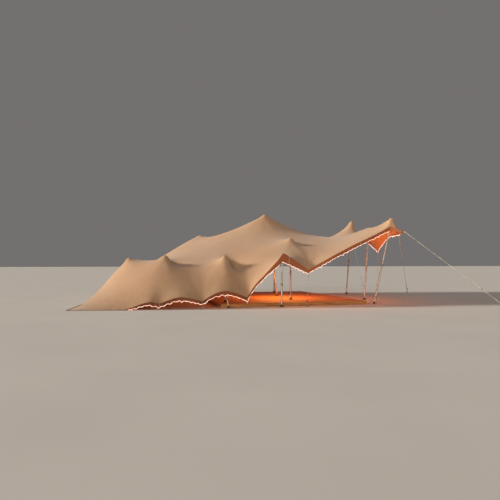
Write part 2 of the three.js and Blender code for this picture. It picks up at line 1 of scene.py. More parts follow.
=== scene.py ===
"""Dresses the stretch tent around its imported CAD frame.

One sheet of coated stretch knit is drawn over leaning aluminium poles, pegged down along its left side and
guyed out on its right. A lit rope runs under the hem, and a low timber deck stands inside. Units are metres.
"""

import functools
import itertools
import logging
import math
from collections.abc import Iterable, Sequence
from dataclasses import dataclass, field
from enum import Enum

import bmesh
import bpy
import numpy as np
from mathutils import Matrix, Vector


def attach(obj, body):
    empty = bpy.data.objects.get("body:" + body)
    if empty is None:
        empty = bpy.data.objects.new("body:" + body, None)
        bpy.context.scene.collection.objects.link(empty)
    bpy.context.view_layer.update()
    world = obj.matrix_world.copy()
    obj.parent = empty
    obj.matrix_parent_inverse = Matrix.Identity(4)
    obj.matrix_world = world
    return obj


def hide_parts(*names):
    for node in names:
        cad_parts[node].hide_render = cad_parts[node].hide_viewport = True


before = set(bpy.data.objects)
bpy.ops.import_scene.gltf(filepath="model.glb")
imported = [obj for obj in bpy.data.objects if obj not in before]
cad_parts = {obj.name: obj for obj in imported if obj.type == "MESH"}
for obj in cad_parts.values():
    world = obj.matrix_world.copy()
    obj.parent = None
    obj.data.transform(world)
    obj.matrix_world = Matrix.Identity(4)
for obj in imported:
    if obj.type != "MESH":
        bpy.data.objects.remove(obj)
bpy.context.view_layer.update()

log = logging.getLogger("tent")

BODY = "root"
# Pieces that touch are modelled this far apart
CONTACT_GAP = 0.0003
UP = np.array([0.0, 0.0, 1.0])

# The wave texture repeats every 314 mm at a scale of 1
WAVE_LENGTH = 0.314
# Strands are drawn a little too thick, so that no light shows between them
STRAND_OVERLAP = 1.08
STRAND_STEPS = 8


# Helpers for colour and nodes


def linear(code: str) -> tuple[float, float, float, float]:
    """Turns an sRGB hex colour to linear light.

    Args:
        code: Six hex digits, such as "C9AC8B".

    Returns:
        Red, green, blue and an alpha of 1.
    """
    values = [int(code[k : k + 2], 16) / 255 for k in (0, 2, 4)]
    red, green, blue = (v / 12.92 if v <= 0.04045 else ((v + 0.055) / 1.055) ** 2.4 for v in values)
    return (red, green, blue, 1.0)


def feed(tree: bpy.types.NodeTree, node: bpy.types.Node, inputs: dict[object, object]) -> None:
    """Sets or links a node's inputs.

    Args:
        tree: The material's node tree.
        node: The node.
        inputs: For each input, by name or number, a value or the output socket that feeds it.
    """
    for name, value in inputs.items():
        if isinstance(value, bpy.types.NodeSocket):
            tree.links.new(value, node.inputs[name])
        else:
            node.inputs[name].default_value = value


def add_node(
    tree: bpy.types.NodeTree,
    kind: str,
    settings: dict[str, object] | None = None,
    numbered: dict[int, object] | None = None,
    stops: Sequence[tuple[float, str]] = (),
    out: str | int = 0,
    **named: object,
) -> bpy.types.NodeSocket:
    """Adds a shader node with its settings and links.

    Args:
        tree: The material's node tree.
        kind: The node's type, without its "ShaderNode" prefix.
        settings: Properties of the node itself.
        numbered: Inputs by number, where names don't tell them apart.
        stops: Positions and hex colours along a colour ramp.
        out: Which output is given back.
        named: Inputs by name, in small letters and with an underscore for a space.

    Returns:
        The output socket.
    """
    node = tree.nodes.new("ShaderNode" + kind)
    for name, value in (settings or {}).items():
        setattr(node, name, value)
    feed(tree, node, {name.replace("_", " ").title(): value for name, value in named.items()})
    feed(tree, node, numbered or {})
    for k, (position, code) in enumerate(stops):
        if k > 1:
            node.color_ramp.elements.new(1.0)
        element = node.color_ramp.elements[k]
        element.position, element.color = position, linear(code)
    return node.outputs[out]


def dress(material: bpy.types.Material, inputs: dict[str, object]) -> bpy.types.Material:
    """Sets or links the inputs of a material's shader, and gives the material back."""
    feed(material.node_tree, material.node_tree.nodes["Principled BSDF"], inputs)
    return material


# Finishes


@dataclass(frozen=True)
class Finish:
    """What every finish has: the real material's name and the shader's plain numbers."""

    name: str
    colour: str
    roughness: float
    metallic: float = 0.0

    def start(self) -> tuple[bpy.types.Material, bpy.types.NodeTree, bpy.types.NodeSocket]:
        """Makes the material with its plain shader.

        Returns:
            The material, its node tree, and the place on the object that patterns are laid out by.
        """
        material = bpy.data.materials.new(self.name)
        material.use_nodes = True
        material.diffuse_color = linear(self.colour)
        plain = {"Base Color": linear(self.colour), "Roughness": self.roughness, "Metallic": self.metallic}
        dress(material, plain)
        return material, material.node_tree, add_node(material.node_tree, "TexCoord", out="Object")

    def make(self) -> bpy.types.Material:
        """Makes the finished material."""
        return self.start()[0]


@dataclass(frozen=True)
class CoatedKnit(Finish):
    """Polyester stretch knit with a matt waterproof coating, as tents of this kind are cut from.

    The coating gives a soft, almost dry surface with a faint bloom of sheen at grazing angles. The tension
    draws broad, barely lighter and darker streaks in it, and the colour is drawn darker towards the ground,
    partly as ground dirt and partly as painted shade.
    """

    shade: str = "C89E78"
    pale: str = "D5AE88"
    cloud_size: float = 1.6
    knit_pitch: float = 0.012
    puckers_per_metre: float = 3.2
    # Darker towards the ground, partly as ground dirt and partly as painted shade: this colour, up to this
    # height, at this share
    dust_and_shade: str = "8C6746"
    dust_and_shade_height: float = 0.9
    dust_and_shade_share: float = 0.75
    specks_per_metre: float = 9.0

    def make(self) -> bpy.types.Material:
        """Makes the knit, with a rib drawn at 12 mm because the real 0.5 mm one is too fine to show.

        Returns:
            The material.
        """
        material, tree, place = self.start()
        broad = {"scale": 1 / self.cloud_size, "detail": 4.0, "roughness": 0.55}
        clouds = add_node(tree, "TexNoise", vector=place, **broad)
        tones = [(0.3, self.shade), (0.5, self.colour), (0.72, self.pale)]
        cloth = add_node(tree, "ValToRGB", fac=clouds, stops=tones)
        # Painted shade and ground dirt: the colour is drawn in specks towards the darker colour below the set
        # height
        height = add_node(tree, "SeparateXYZ", vector=place, out="Z")
        fade = {"from_max": self.dust_and_shade_height, "to_min": self.dust_and_shade_share, "to_max": 0.0}
        low = add_node(tree, "MapRange", value=height, **fade)
        specks = add_node(tree, "TexNoise", vector=place, scale=self.specks_per_metre, detail=6.0)
        dust_and_shade_mix = add_node(tree, "Math", {"operation": "MULTIPLY"}, {0: low, 1: specks})
        both = {6: cloth, 7: linear(self.dust_and_shade)}
        colour = add_node(tree, "Mix", {"data_type": "RGBA"}, both, out=2, factor=dust_and_shade_mix)
        on_cloth = add_node(tree, "UVMap", {"uv_map": "cloth"})
        rib = {"vector": on_cloth, "scale": WAVE_LENGTH / self.knit_pitch, "distortion": 0.6, "detail": 1.0}
        ribs = [add_node(tree, "TexWave", {"bands_direction": axis}, out="Fac", **rib) for axis in ("X", "Y")]
        knit = add_node(tree, "Math", {"operation": "MULTIPLY"}, dict(enumerate(ribs)))
        puckers = add_node(tree, "TexNoise", vector=place, scale=self.puckers_per_metre, detail=3.0)
        soft = add_node(tree, "Bump", strength=0.18, distance=0.03, height=puckers)
        bump = add_node(tree, "Bump", strength=0.25, distance=0.0015, height=knit, normal=soft)
        sheen = {"Sheen Weight": 0.25, "Sheen Roughness": 0.6}
        return dress(material, {"Base Color": colour, "Normal": bump, **sheen})


@dataclass(frozen=True)
class MillAluminium(Finish):
    """Extruded aluminium as it leaves the mill: satin, with lines drawn along it and dull handling marks."""

    dull: str = "B9B4A9"
    scratch_length: float = 0.4
    scratch_width: float = 0.004
    marks_per_metre: float = 7.0
    smoother: float = 0.1
    rougher: float = 0.15

    def make(self) -> bpy.types.Material:
        """Makes the metal, with its drawn lines 4 mm apart so that they show.

        Returns:
            The material.
        """
        material, tree, place = self.start()
        drawn = (1 / self.scratch_width, 1 / self.scratch_width, 1 / self.scratch_length)
        stretched = add_node(tree, "Mapping", vector=place, scale=drawn)
        lines = add_node(tree, "TexNoise", vector=stretched, scale=1.0, detail=3.0)
        marks = add_node(tree, "TexNoise", vector=place, scale=self.marks_per_metre, detail=5.0)
        both = add_node(tree, "Math", {"operation": "ADD"}, {0: lines, 1: marks})
        ends = {"to_min": self.roughness - self.smoother, "to_max": self.roughness + self.rougher}
        rough = add_node(tree, "MapRange", value=both, from_min=0.7, from_max=1.3, **ends)
        colour = add_node(tree, "ValToRGB", fac=marks, stops=[(0.3, self.dull), (0.6, self.colour)])
        bump = add_node(tree, "Bump", strength=0.1, distance=0.0004, height=lines)
        return dress(material, {"Base Color": colour, "Roughness": rough, "Normal": bump})


@dataclass(frozen=True)
class GalvanisedSteel(Finish):
    """Hot-dipped steel: dull grey with the crystal spangle of zinc, and rust beginning in its hollows."""

    dark: str = "6F7376"
    pale: str = "B4B8BA"
    rust: str = "7A4B2E"
    spangle: float = 0.012
    patches_per_metre: float = 18.0

    def make(self) -> bpy.types.Material:
        """Makes the zinc coat, with a spangle of 12 mm.

        Returns:
            The material.
        """
        material, tree, place = self.start()
        crystals = add_node(tree, "TexVoronoi", vector=place, scale=1 / self.spangle, out="Color")
        grey = add_node(tree, "RGBToBW", color=crystals)
        tones = [(0.1, self.dark), (0.5, self.colour), (0.9, self.pale)]
        zinc = add_node(tree, "ValToRGB", fac=grey, stops=tones)
        rough = {"scale": self.patches_per_metre, "detail": 8.0, "roughness": 0.7}
        patches = add_node(tree, "TexNoise", vector=place, **rough)
        rusty = add_node(tree, "MapRange", value=patches, from_min=0.58, from_max=0.75, to_max=0.6)
        both = {6: zinc, 7: linear(self.rust)}
        colour = add_node(tree, "Mix", {"data_type": "RGBA"}, both, out=2, factor=rusty)
        bump = add_node(tree, "Bump", strength=0.2, distance=0.0006, height=patches)
        return dress(material, {"Base Color": colour, "Normal": bump})


@dataclass(frozen=True)
class MouldedRubber(Finish):
    """Moulded black EPDM: dead matt, greyed with dust on its shoulders, with a fine grain from the mould."""

    dust_and_shade: str = "5A5348"
    dust_per_metre: float = 25.0
    grain: float = 0.003

    def make(self) -> bpy.types.Material:
        """Makes the rubber, with a mould grain of 3 mm.

        Returns:
            The material.
        """
        material, tree, place = self.start()
        grain = add_node(tree, "TexNoise", vector=place, scale=1 / self.grain, detail=2.0)
        dust_and_shade = add_node(tree, "TexNoise", vector=place, scale=self.dust_per_metre, detail=6.0)
        colour = add_node(tree, "ValToRGB", fac=dust_and_shade, stops=[(0.35, self.colour), (0.75, self.dust_and_shade)])
        bump = add_node(tree, "Bump", strength=0.3, distance=0.0005, height=grain)
        return dress(material, {"Base Color": colour, "Normal": bump})


@dataclass(frozen=True)
class LaidRope(Finish):
    """Three-strand polyester rope: off-white, hairy and matt, greyer where hands and weather have been."""

    worn: str = "B8AB93"
    wear_per_metre: float = 5.0
    yarn: float = 0.003

    def make(self) -> bpy.types.Material:
        """Makes the rope, with yarns 3 mm thick on each strand.

        Returns:
            The material.
        """
        material, tree, place = self.start()
        wear = add_node(tree, "TexNoise", vector=place, scale=self.wear_per_metre, detail=6.0)
        colour = add_node(tree, "ValToRGB", fac=wear, stops=[(0.3, self.worn), (0.6, self.colour)])
        twist = {"vector": place, "scale": WAVE_LENGTH / self.yarn, "distortion": 2.0}
        yarns = add_node(tree, "TexWave", {"bands_direction": "DIAGONAL"}, out="Fac", **twist)
        bump = add_node(tree, "Bump", strength=0.4, distance=0.0008, height=yarns)
        return dress(material, {"Base Color": colour, "Normal": bump, "Sheen Weight": 0.3})


@dataclass(frozen=True)
class LitPlastic(Finish):
    """Clear moulded plastic over a warm white lamp: a nearly even glow, with brighter lumps in it."""

    bright: str = "FFEADC"
    strength: float = 2.6
    lump: float = 0.033

    def make(self) -> bpy.types.Material:
        """Makes the glowing plastic.

        Returns:
            The material.
        """
        material, tree, place = self.start()
        lumps = add_node(tree, "TexNoise", vector=place, scale=1 / self.lump, detail=1.0)
        glow = add_node(tree, "ValToRGB", fac=lumps, stops=[(0.35, self.colour), (0.65, self.bright)])
        return dress(
            material, {"Emission Color": glow, "Emission Strength": self.strength, "Coat Weight": 0.5}
        )


class Grain(Enum):
    """The direction that a board's grain runs in."""

    ALONG_X = "x"
    ALONG_Y = "y"


@dataclass(frozen=True)
class OiledSoftwood(Finish):
    """Oiled pine boards: honey brown, with long grain, and a tone that changes from board to board."""

    late_wood: str = "7E4A22"
    early_wood: str = "D9A468"
    grain: Grain = Grain.ALONG_X
    ring_width: float = 0.011
    rings_per_cloud: float = 6.0
    ring_stretch: float = 16.0
    board_shift: tuple[float, float, float] = (17.0, 11.0, 5.0)
    uneven_gloss: float = 0.12

    def make(self) -> bpy.types.Material:
        """Makes the wood, with growth rings 11 mm apart across each board.

        Returns:
            The material.
        """
        material, tree, place = self.start()
        tone = add_node(tree, "Attribute", {"attribute_name": "board"}, out="Fac")
        shift = add_node(tree, "CombineXYZ", x=tone, y=tone, z=tone)
        moved = {0: shift, 1: self.board_shift, 2: place}
        apart = add_node(tree, "VectorMath", {"operation": "MULTIPLY_ADD"}, moved)
        across = 1 / self.ring_width / self.rings_per_cloud
        along = across / self.ring_stretch
        scale = (along, across, across) if self.grain is Grain.ALONG_X else (across, along, across)
        stretched = add_node(tree, "Mapping", vector=apart, scale=scale)
        rings = add_node(tree, "TexNoise", vector=stretched, scale=1.0, detail=5.0, distortion=1.1)
        tones = [(0.3, self.late_wood), (0.46, self.colour), (0.68, self.early_wood)]
        wood = add_node(tree, "ValToRGB", fac=rings, stops=tones)
        change = add_node(tree, "MapRange", value=tone, to_min=0.72, to_max=1.12)
        colour = add_node(tree, "HueSaturation", value=change, color=wood)
        ends = {"to_min": self.roughness + self.uneven_gloss, "to_max": self.roughness - self.uneven_gloss}
        rough = add_node(tree, "MapRange", value=rings, **ends)
        bump = add_node(tree, "Bump", strength=0.35, distance=0.001, height=rings)
        return dress(material, {"Base Color": colour, "Roughness": rough, "Normal": bump})


@dataclass(frozen=True)
class PaintedBoard(Finish):
    """Painted board under the studio's light: matt, with a faint unevenness from the brush."""

    pale: str = "EBE8E3"
    clouds_per_metre: float = 0.4

    def make(self) -> bpy.types.Material:
        """Makes the paint.

        Returns:
            The material.
        """
        material, tree, place = self.start()
        clouds = add_node(tree, "TexNoise", vector=place, scale=self.clouds_per_metre, detail=2.0)
        paint = add_node(tree, "ValToRGB", fac=clouds, stops=[(0.3, self.colour), (0.7, self.pale)])
        return dress(material, {"Base Color": paint})


KNIT_TOP = CoatedKnit("coated stretch knit, outside", "CFA680", 0.82)
# The inside is a warmer, more orange copy of the knit: painted warm glow, as if lit by lamps inside the tent
KNIT_UNDER_PAINTED_GLOW = CoatedKnit(
    "coated stretch knit, inside, painted warm glow", "D39A66", 0.85, shade="CB915E", pale="DAA471", dust_and_shade="B98A5E"
)
# The hem band is a darker, warmer copy of the same knit: painted warm shade; its very dark colour near the
# ground paints deep shade on the band where it hangs low in the arches
KNIT_BAND_PAINTED_SHADE = CoatedKnit(
    "coated stretch knit, hem band, painted warm shade", "B8693A", 0.82,
    shade="AC6033", pale="C47645", dust_and_shade="4F2512", dust_and_shade_share=1.7,
)
KNIT_TAPE = CoatedKnit("sewn hem tape", "8F5E3A", 0.8, shade="855533", pale="9C6A43", knit_pitch=0.006)
TUBE = MillAluminium("mill aluminium tube", "EDE8DC", 0.42, metallic=0.85)
COLLAR = MillAluminium("cast aluminium collar", "B9B6AF", 0.5, metallic=1.0)
RUBBER = MouldedRubber("moulded EPDM rubber", "2B2925", 0.75)
ROPE = LaidRope("three-strand polyester rope", "EFE6D3", 0.88)
ZINC = GalvanisedSteel("galvanised steel", "8D9194", 0.5, metallic=1.0)
LAMP = LitPlastic("lit lamp cap", "FFD6BC", 0.3)
GLOW = LitPlastic("lit clear PVC rope", "F5A98C", 0.35, bright="FFDCCB", strength=1.5, lump=0.16)
BOARDS_X = OiledSoftwood("oiled pine boards", "C58A50", 0.55)
BOARDS_Y = OiledSoftwood("oiled pine bearers", "A96B36", 0.6, grain=Grain.ALONG_Y)
FLOOR_PAINT = PaintedBoard("painted studio floor", "E6E3DE", 0.9)


@functools.cache
def material_of(finish: Finish) -> bpy.types.Material:
    """Gives a finish's material, which is made the first time."""
    return finish.make()


# Meshes


Profile = Sequence[tuple[float, float]]


def unit(vectors: Iterable[float]) -> np.ndarray:
    """Gives the direction, of length 1, of a vector or of each one in an array."""
    array = np.asarray(vectors, float)
    return array / np.maximum(np.linalg.norm(array, axis=-1, keepdims=True), 1e-12)


def side_axes(along: np.ndarray) -> tuple[np.ndarray, np.ndarray]:
    """Gives two directions square to another one and to each other.

    Args:
        along: A direction of length 1.

    Returns:
        The two directions, right-handed with `along`.
    """
    helper = UP if abs(along[2]) < 0.9 else np.array([1.0, 0.0, 0.0])
    first = unit(np.cross(helper, along))
    return first, np.cross(along, first)


def around(angles: np.ndarray, axes: Sequence[np.ndarray]) -> np.ndarray:
    """Gives the directions at some angles from one axis towards another, one a row."""
    return np.cos(angles)[:, None] * axes[0] + np.sin(angles)[:, None] * axes[1]


def circle(sides: int, axes: Sequence[np.ndarray]) -> np.ndarray:
    """Gives directions spaced evenly round a circle, one a row."""
    return around(np.arange(sides) * 2 * math.pi / sides, axes)


def coil(
    start: np.ndarray,
    along: np.ndarray,
    radius: float,
    pitch: float,
    turns: float,
    steps: int,
    phase: float = 0.0,
) -> np.ndarray:
    """Gives a helix round a straight line.

    Args:
        start: Where the line starts.
        along: The line's direction.
        radius: From the line to the helix.
        pitch: How far one turn climbs.
        turns: How many turns it makes.
        steps: How many steps they are divided into.
        phase: The angle that it starts at.

    Returns:
        One point a row.
    """
    angles = np.linspace(0, turns * 2 * math.pi, steps + 1)
    climb = along * angles[:, None] * pitch / (2 * math.pi)
    return start + climb + radius * around(angles + phase, side_axes(along))


def scaled(profile: Profile, radius: float) -> list[tuple[float, float]]:
    """Gives a profile in metres, where its radii are shares of a radius."""
    return [(height, share * radius) for height, share in profile]


def rim(grid: np.ndarray) -> np.ndarray:
    """Gives a grid's border, all the way round from its first corner and back to it."""
    return np.concatenate([grid[0, :-1], grid[:-1, -1], grid[-1, :0:-1], grid[:0:-1, 0], grid[:1, 0]])


def tube_faces(rings: int, sides: int) -> list[tuple[int, ...]]:
    """Gives the faces of a tube with flat ends.

    Args:
        rings: How many rings of points it has.
        sides: How many points there are in each.

    Returns:
        The point numbers of each face.
    """
    faces: list[tuple[int, ...]] = [tuple(reversed(range(sides)))]
    for ring, side in itertools.product(range(rings - 1), range(sides)):
        a, b = ring * sides + side, ring * sides + (side + 1) % sides
        faces.append((a, b, b + sides, a + sides))
    faces.append(tuple(range((rings - 1) * sides, rings * sides)))
    return faces


class Shape:
    """Points and faces of one piece, gathered part by part, with a finish for each face."""

    def __init__(self, *finishes: Finish) -> None:
        """Starts empty.

        Args:
            finishes: The finishes that the faces choose from, by number.
        """
        self.finishes = finishes
        self.points: list[np.ndarray] = []
        self.faces: list[tuple[int, ...]] = []
        self.marks: list[int] = []
        self.count = 0
        self.tones: list[float] = []

    def add(
        self, points: np.ndarray, faces: Iterable[Sequence[int]], finish: int = 0, tone: float = 0.5
    ) -> None:
        """Adds a part.

        Args:
            points: Its points, one a row.
            faces: Its faces, numbered from its own first point.
            finish: The number of its finish.
            tone: What the "board" attribute says on it.
        """
        for face in faces:
            self.faces.append(tuple(self.count + int(k) for k in face))
            self.marks.append(finish)
        self.points.append(points)
        self.tones.extend([tone] * len(points))
        self.count += len(points)

    def revolve(
        self, start: Sequence[float], axis: np.ndarray, profile: Profile, sides: int = 24, finish: int = 0
    ) -> None:
        """Adds a turned part, closed at both ends.

        Args:
            start: Where its profile starts.
            axis: The direction that it is turned about.
            profile: Distances along the axis, each with its radius.
            sides: Points in each ring.
            finish: The number of its finish.
        """
        base, axis = np.asarray(start, float), unit(axis)
        ring = circle(sides, side_axes(axis))
        points = np.concatenate([base + axis * h + ring * max(r, 1e-4) for h, r in profile])
        self.add(points, tube_faces(len(profile), sides), finish)

    def sweep(
        self, path: np.ndarray, radius: float | Sequence[float], sides: int = 8, finish: int = 0
    ) -> None:
        """Adds a tube along a path.

        Args:
            path: The points it passes through, one a row.
            radius: One radius, or one for each point.
            sides: Points in each ring.
            finish: The number of its finish.
        """
        radii = np.broadcast_to(np.asarray(radius, float), (len(path),))
        tangents = unit(np.gradient(path, axis=0))
        first, _ = side_axes(tangents[0])
        rings = []
        for centre, tangent, r in zip(path, tangents, radii, strict=True):
            first = unit(first - tangent * float(first @ tangent))
            rings.append(centre + r * circle(sides, (first, np.cross(tangent, first))))
        self.add(np.concatenate(rings), tube_faces(len(path), sides), finish)

    def laid_rope(self, start: np.ndarray, end: np.ndarray, diameter: float, pitch: float) -> None:
        """Adds a straight rope of three twisted strands.

        Args:
            start: One end of its centre line.
            end: The other end.
            diameter: Across all three strands.
            pitch: The length of one full turn.
        """
        turns = float(np.linalg.norm(end - start)) / pitch
        steps = max(int(turns * STRAND_STEPS), STRAND_STEPS)
        strand = diameter / 2 / (1 + 2 / math.sqrt(3))
        for k in range(3):
            phase = k * 2 * math.pi / 3
            path = coil(start, unit(end - start), diameter / 2 - strand, pitch, turns, steps, phase)
            self.sweep(path, strand * STRAND_OVERLAP, 6)

    def ball(self, centre: np.ndarray, radius: float, finish: int) -> None:
        """Adds a ball, as a turned part."""
        profile = [(radius * (1 - math.cos(a)), radius * math.sin(a)) for a in np.arange(9) * math.pi / 8]
        self.revolve(centre - UP * radius, UP, profile, 12, finish)

    def ring(self, centre: np.ndarray, axis: np.ndarray, radius: float, wire: float, finish: int = 0) -> None:
        """Adds a round wire ring.

        Args:
            centre: The middle of the ring.
            axis: The direction square to its plane.
            radius: From the middle to the wire's centre line.
            wire: The wire's radius.
            finish: The number of its finish.
        """
        around_ring, around_wire = 20, 8
        turn = np.arange(around_wire) * 2 * math.pi / around_wire
        out = circle(around_ring, side_axes(unit(axis)))[:, None]
        points = centre + out * (radius + wire * np.cos(turn))[:, None]
        points = (points + unit(axis) * wire * np.sin(turn)[:, None]).reshape(-1, 3)
        faces = []
        for k, j in itertools.product(range(around_ring), range(around_wire)):
            a, b = k * around_wire, (k + 1) % around_ring * around_wire
            after = (j + 1) % around_wire
            faces.append((a + j, b + j, b + after, a + after))
        self.add(points, faces, finish)

    def board(self, low: Sequence[float], high: Sequence[float], bevel: float, tone: float) -> None:
        """Adds a board with its edges planed off.

        Each corner has three points, one for each side that meets there.

        Args:
            low: Its lowest corner.
            high: Its highest corner.
            bevel: How much is planed off each edge.
            tone: What the "board" attribute says on it.
        """
        middle = (np.asarray(low, float) + np.asarray(high, float)) / 2
        half = (np.asarray(high, float) - np.asarray(low, float)) / 2
        corners = np.array(list(itertools.product((-1, 1), repeat=3)))
        points = middle + corners[:, None] * (half - bevel * (1 - np.eye(3)))
        steps = (12, 6, 3)
        faces: list[tuple[int, ...]] = [(3 * k, 3 * k + 1, 3 * k + 2) for k in range(8)]
        for axis in range(3):
            b, c = [k for k in range(3) if k != axis]
            for side in (axis, axis + steps[axis]):
                faces.append((side, side + steps[b], side + steps[b] + steps[c], side + steps[c]))
            for near in (0, steps[c], steps[b], steps[b] + steps[c]):
                far = near + steps[axis]
                faces.append((near + b, far + b, far + c, near + c))
        self.add(points.reshape(-1, 3), faces, 0, tone)

    def make(
        self, name: str, slot: str, nodes: Sequence[str] = (), sharp: float = 38.0
    ) -> bpy.types.Object:
        """Makes the piece.

        Args:
            name: The piece's name.
            slot: The record's material slot; not used.
            nodes: The CAD nodes that it stands for.
            sharp: Edges that turn by more than this, in degrees, stay sharp.

        Returns:
            The piece.
        """
        mesh = bpy.data.meshes.new(name)
        mesh.from_pydata(np.concatenate(self.points).tolist(), [], self.faces)
        piece = make_piece(mesh, self.marks, self.finishes, nodes)
        tones = mesh.attributes.new("board", "FLOAT", "POINT")
        tones.data.foreach_set("value", self.tones)
        work = bmesh.new()
        work.from_mesh(mesh)
        bmesh.ops.recalc_face_normals(work, faces=work.faces)
        work.to_mesh(mesh)
        work.free()
        mesh.set_sharp_from_angle(angle=math.radians(sharp))
        return piece


def add_object(name: str, data: bpy.types.ID) -> bpy.types.Object:
    """Puts a new object into the scene.

    Args:
        name: Its name.
        data: Its mesh, light or camera.

    Returns:
        The object.
    """
    placed = bpy.data.objects.new(name, data)
    bpy.context.scene.collection.objects.link(placed)
    return placed


def make_piece(
    mesh: bpy.types.Mesh, marks: Sequence[int], finishes: Iterable[Finish], nodes: Sequence[str]
) -> bpy.types.Object:
    """Makes a piece of a mesh, and says what it rides on, what its finish is and what it stands for.

    Args:
        mesh: The mesh, named as the piece is.
        marks: The number of each face's finish.
        finishes: The finishes, in the order of their numbers.
        nodes: The CAD nodes that it stands for.

    Returns:
        The piece.
    """
    mesh.polygons.foreach_set("material_index", marks)
    mesh.polygons.foreach_set("use_smooth", [True] * len(mesh.polygons))
    for finish in finishes:
        mesh.materials.append(material_of(finish))
    piece = add_object(mesh.name, mesh)
    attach(piece, BODY)
    if nodes:
        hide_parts(*nodes)
    log.info("%s: %d faces, stands for %s", piece.name, len(mesh.polygons), nodes or "no CAD node")
    return piece


# The hem


@dataclass(frozen=True)
class Station:
    """A place that the fold above the hem passes through.

    `arrive` and `leave` are the steepness there, as a share of the straight line to the station before or
    after. `band` is how far the hem band hangs down from the fold.
    """

    x: float
    y: float
    z: float
    band: float
    arrive: float = 1.0
    leave: float = 1.0


FRONT_LEFT = Station(-8.02, -3.71, 0, 0)
FRONT_RIGHT = Station(4.18, -4.54, 2.83, 0.11, 1.2, 0.3)
BACK_LEFT = Station(-6.98, 3.94, 0, 0)
BACK_RIGHT = Station(6.05, 3.55, 3, 0.11)

FRONT_HEM = (
    FRONT_LEFT,
    Station(-7.15, -3.88, 0, 0),
    Station(-6.23, -4.08, 0, 0, 1, 0.5),
    Station(-5.34, -4.24, 0.26, 0.08, 0.3, 0),
    Station(-5.02, -4.24, 0.19, 0.08, 1, 1),
    Station(-4.34, -4.32, 0.41, 0.09, 0, 0),
    Station(-3.56, -4.38, 0.25, 0.07, 1.6, 1.6),
    Station(-2.76, -4.33, 0.6, 0.1, 0, 0),
    Station(-1.94, -4.35, 0.35, 0.09, 1.6, 1.75),
    Station(-1.09, -4.31, 1.37, 0.11, 0.95, 0.8),
    Station(-0.59, -4.29, 2, 0.34, 1.15, 0.85),
    Station(0.46, -4.16, 1.34, 0.11, 1, 1.1),
    Station(2.26, -4.18, 2.28, 0.13, 0.95, 0.95),
    Station(3.82, -4.235, 2.997, 0.12, 1, 0.4),
    FRONT_RIGHT,
)
RIGHT_HEM = (
    FRONT_RIGHT,
    Station(4.49, -3.27, 2.82, 0.1, 0, 0.4),
    Station(4.82, -2.22, 2.667, 0.1, 0.8, 1),
    Station(5.22, -0.88, 2.244, 0.1, 1.2, 1.2),
    Station(5.56, 0.9, 2.8, 0.11, 0.8, 0.8),
    Station(5.88, 2.45, 3.15, 0.11, 0.4, 0.4),
    BACK_RIGHT,
)
BACK_HEM = (
    BACK_LEFT,
    Station(-6.1, 4.12, 0, 0),
    Station(-5.3, 4.23, 0, 0, 1, 0.5),
    Station(-4.4, 4.3, 0.34, 0.09, 0, 0),
    Station(-3.7, 4.33, 0.2, 0.07, 1.5, 1.5),
    Station(-2.95, 4.36, 0.48, 0.1, 0, 0),
    Station(-2.15, 4.38, 0.26, 0.09, 1.6, 1.6),
    Station(-1.2, 4.35, 1.3, 0.11, 0.95, 0.8),
    Station(-0.6, 4.33, 2, 0.34, 1.15, 0.85),
    Station(0.8, 4.28, 1.4, 0.11, 1, 1.1),
    Station(3, 4.2, 2.25, 0.13, 0.95, 0.95),
    Station(5.45, 3.85, 3.02, 0.12, 0.8, 0.4),
    BACK_RIGHT,
)
LEFT_HEM = (
    FRONT_LEFT,
    Station(-7.75, -1.8, 0, 0),
    Station(-7.3, 1.5, 0, 0),
    BACK_LEFT,
)

COLUMNS = 40
ROWS = 26


@dataclass(frozen=True)
class HemSide:
    """One side of the hem: its stations, laid on whole columns or rows of the net."""

    stations: tuple[Station, ...]
    count: int
    along: str
    inward: tuple[float, float]
    slope: float = 0.2
    ground_band: float = 0.05
    ground_fade: float = 0.06

    def places(self, fineness: int) -> np.ndarray:
        """Gives the places of a net's knots along the hem, with some steps in each column or row."""
        return np.arange(self.count * fineness + 1) / fineness

    def _values(self, name: str) -> np.ndarray:
        """Gives one value of every station."""
        return np.array([getattr(each, name) for each in self.stations], float)

    def _spans(self, positions: Iterable[float]) -> tuple[np.ndarray, np.ndarray]:
        """Finds each position's stations.

        Args:
            positions: Places along the hem, in columns or rows.

        Returns:
            The number of the station before each, and the share of the way to the next.
        """
        positions = np.asarray(positions, float)
        places = self._values(self.along)
        steps = np.floor(self.count * (places - places[0]) / (places[-1] - places[0]) + 0.5)
        spans = np.searchsorted(steps[1:-1], positions, side="left")
        return spans, (positions - steps[spans]) / (steps[spans + 1] - steps[spans])

    def _between(self, name: str, spans: np.ndarray, part: np.ndarray) -> np.ndarray:
        """Gives one value part of the way from each position's station to the next."""
        values = self._values(name)
        return values[spans] + (values[spans + 1] - values[spans]) * part

    def fold(self, positions: Iterable[float]) -> np.ndarray:
        """Gives the fold's points.

        Args:
            positions: Places along the hem, in columns or rows.

        Returns:
            One point a row.
        """
        spans, t = self._spans(positions)
        arrive, leave = self._values("arrive")[spans + 1], self._values("leave")[spans]
        eased = t * t * (3 - 2 * t) + (t**3 - 2 * t * t + t) * leave + (t**3 - t * t) * arrive
        parts = {"x": t, "y": t, "z": eased}
        return np.stack([self._between(name, spans, part) for name, part in parts.items()], axis=-1)

    def band(self, positions: Iterable[float]) -> np.ndarray:
        """Gives the way from the fold to the band's lower edge.

        Args:
            positions: Places along the hem, in columns or rows.

        Returns:
            One offset a row.
        """
        depth = self._between("band", *self._spans(positions))
        flat = self.ground_band * np.maximum(0, 1 - depth / self.ground_fade)
        inset = depth * self.slope - flat
        return np.stack([self.inward[0] * inset, self.inward[1] * inset, -depth], axis=-1)

    def edge(self, positions: Iterable[float]) -> np.ndarray:
        """Gives the band's lower edge."""
        return self.fold(positions) + self.band(positions)


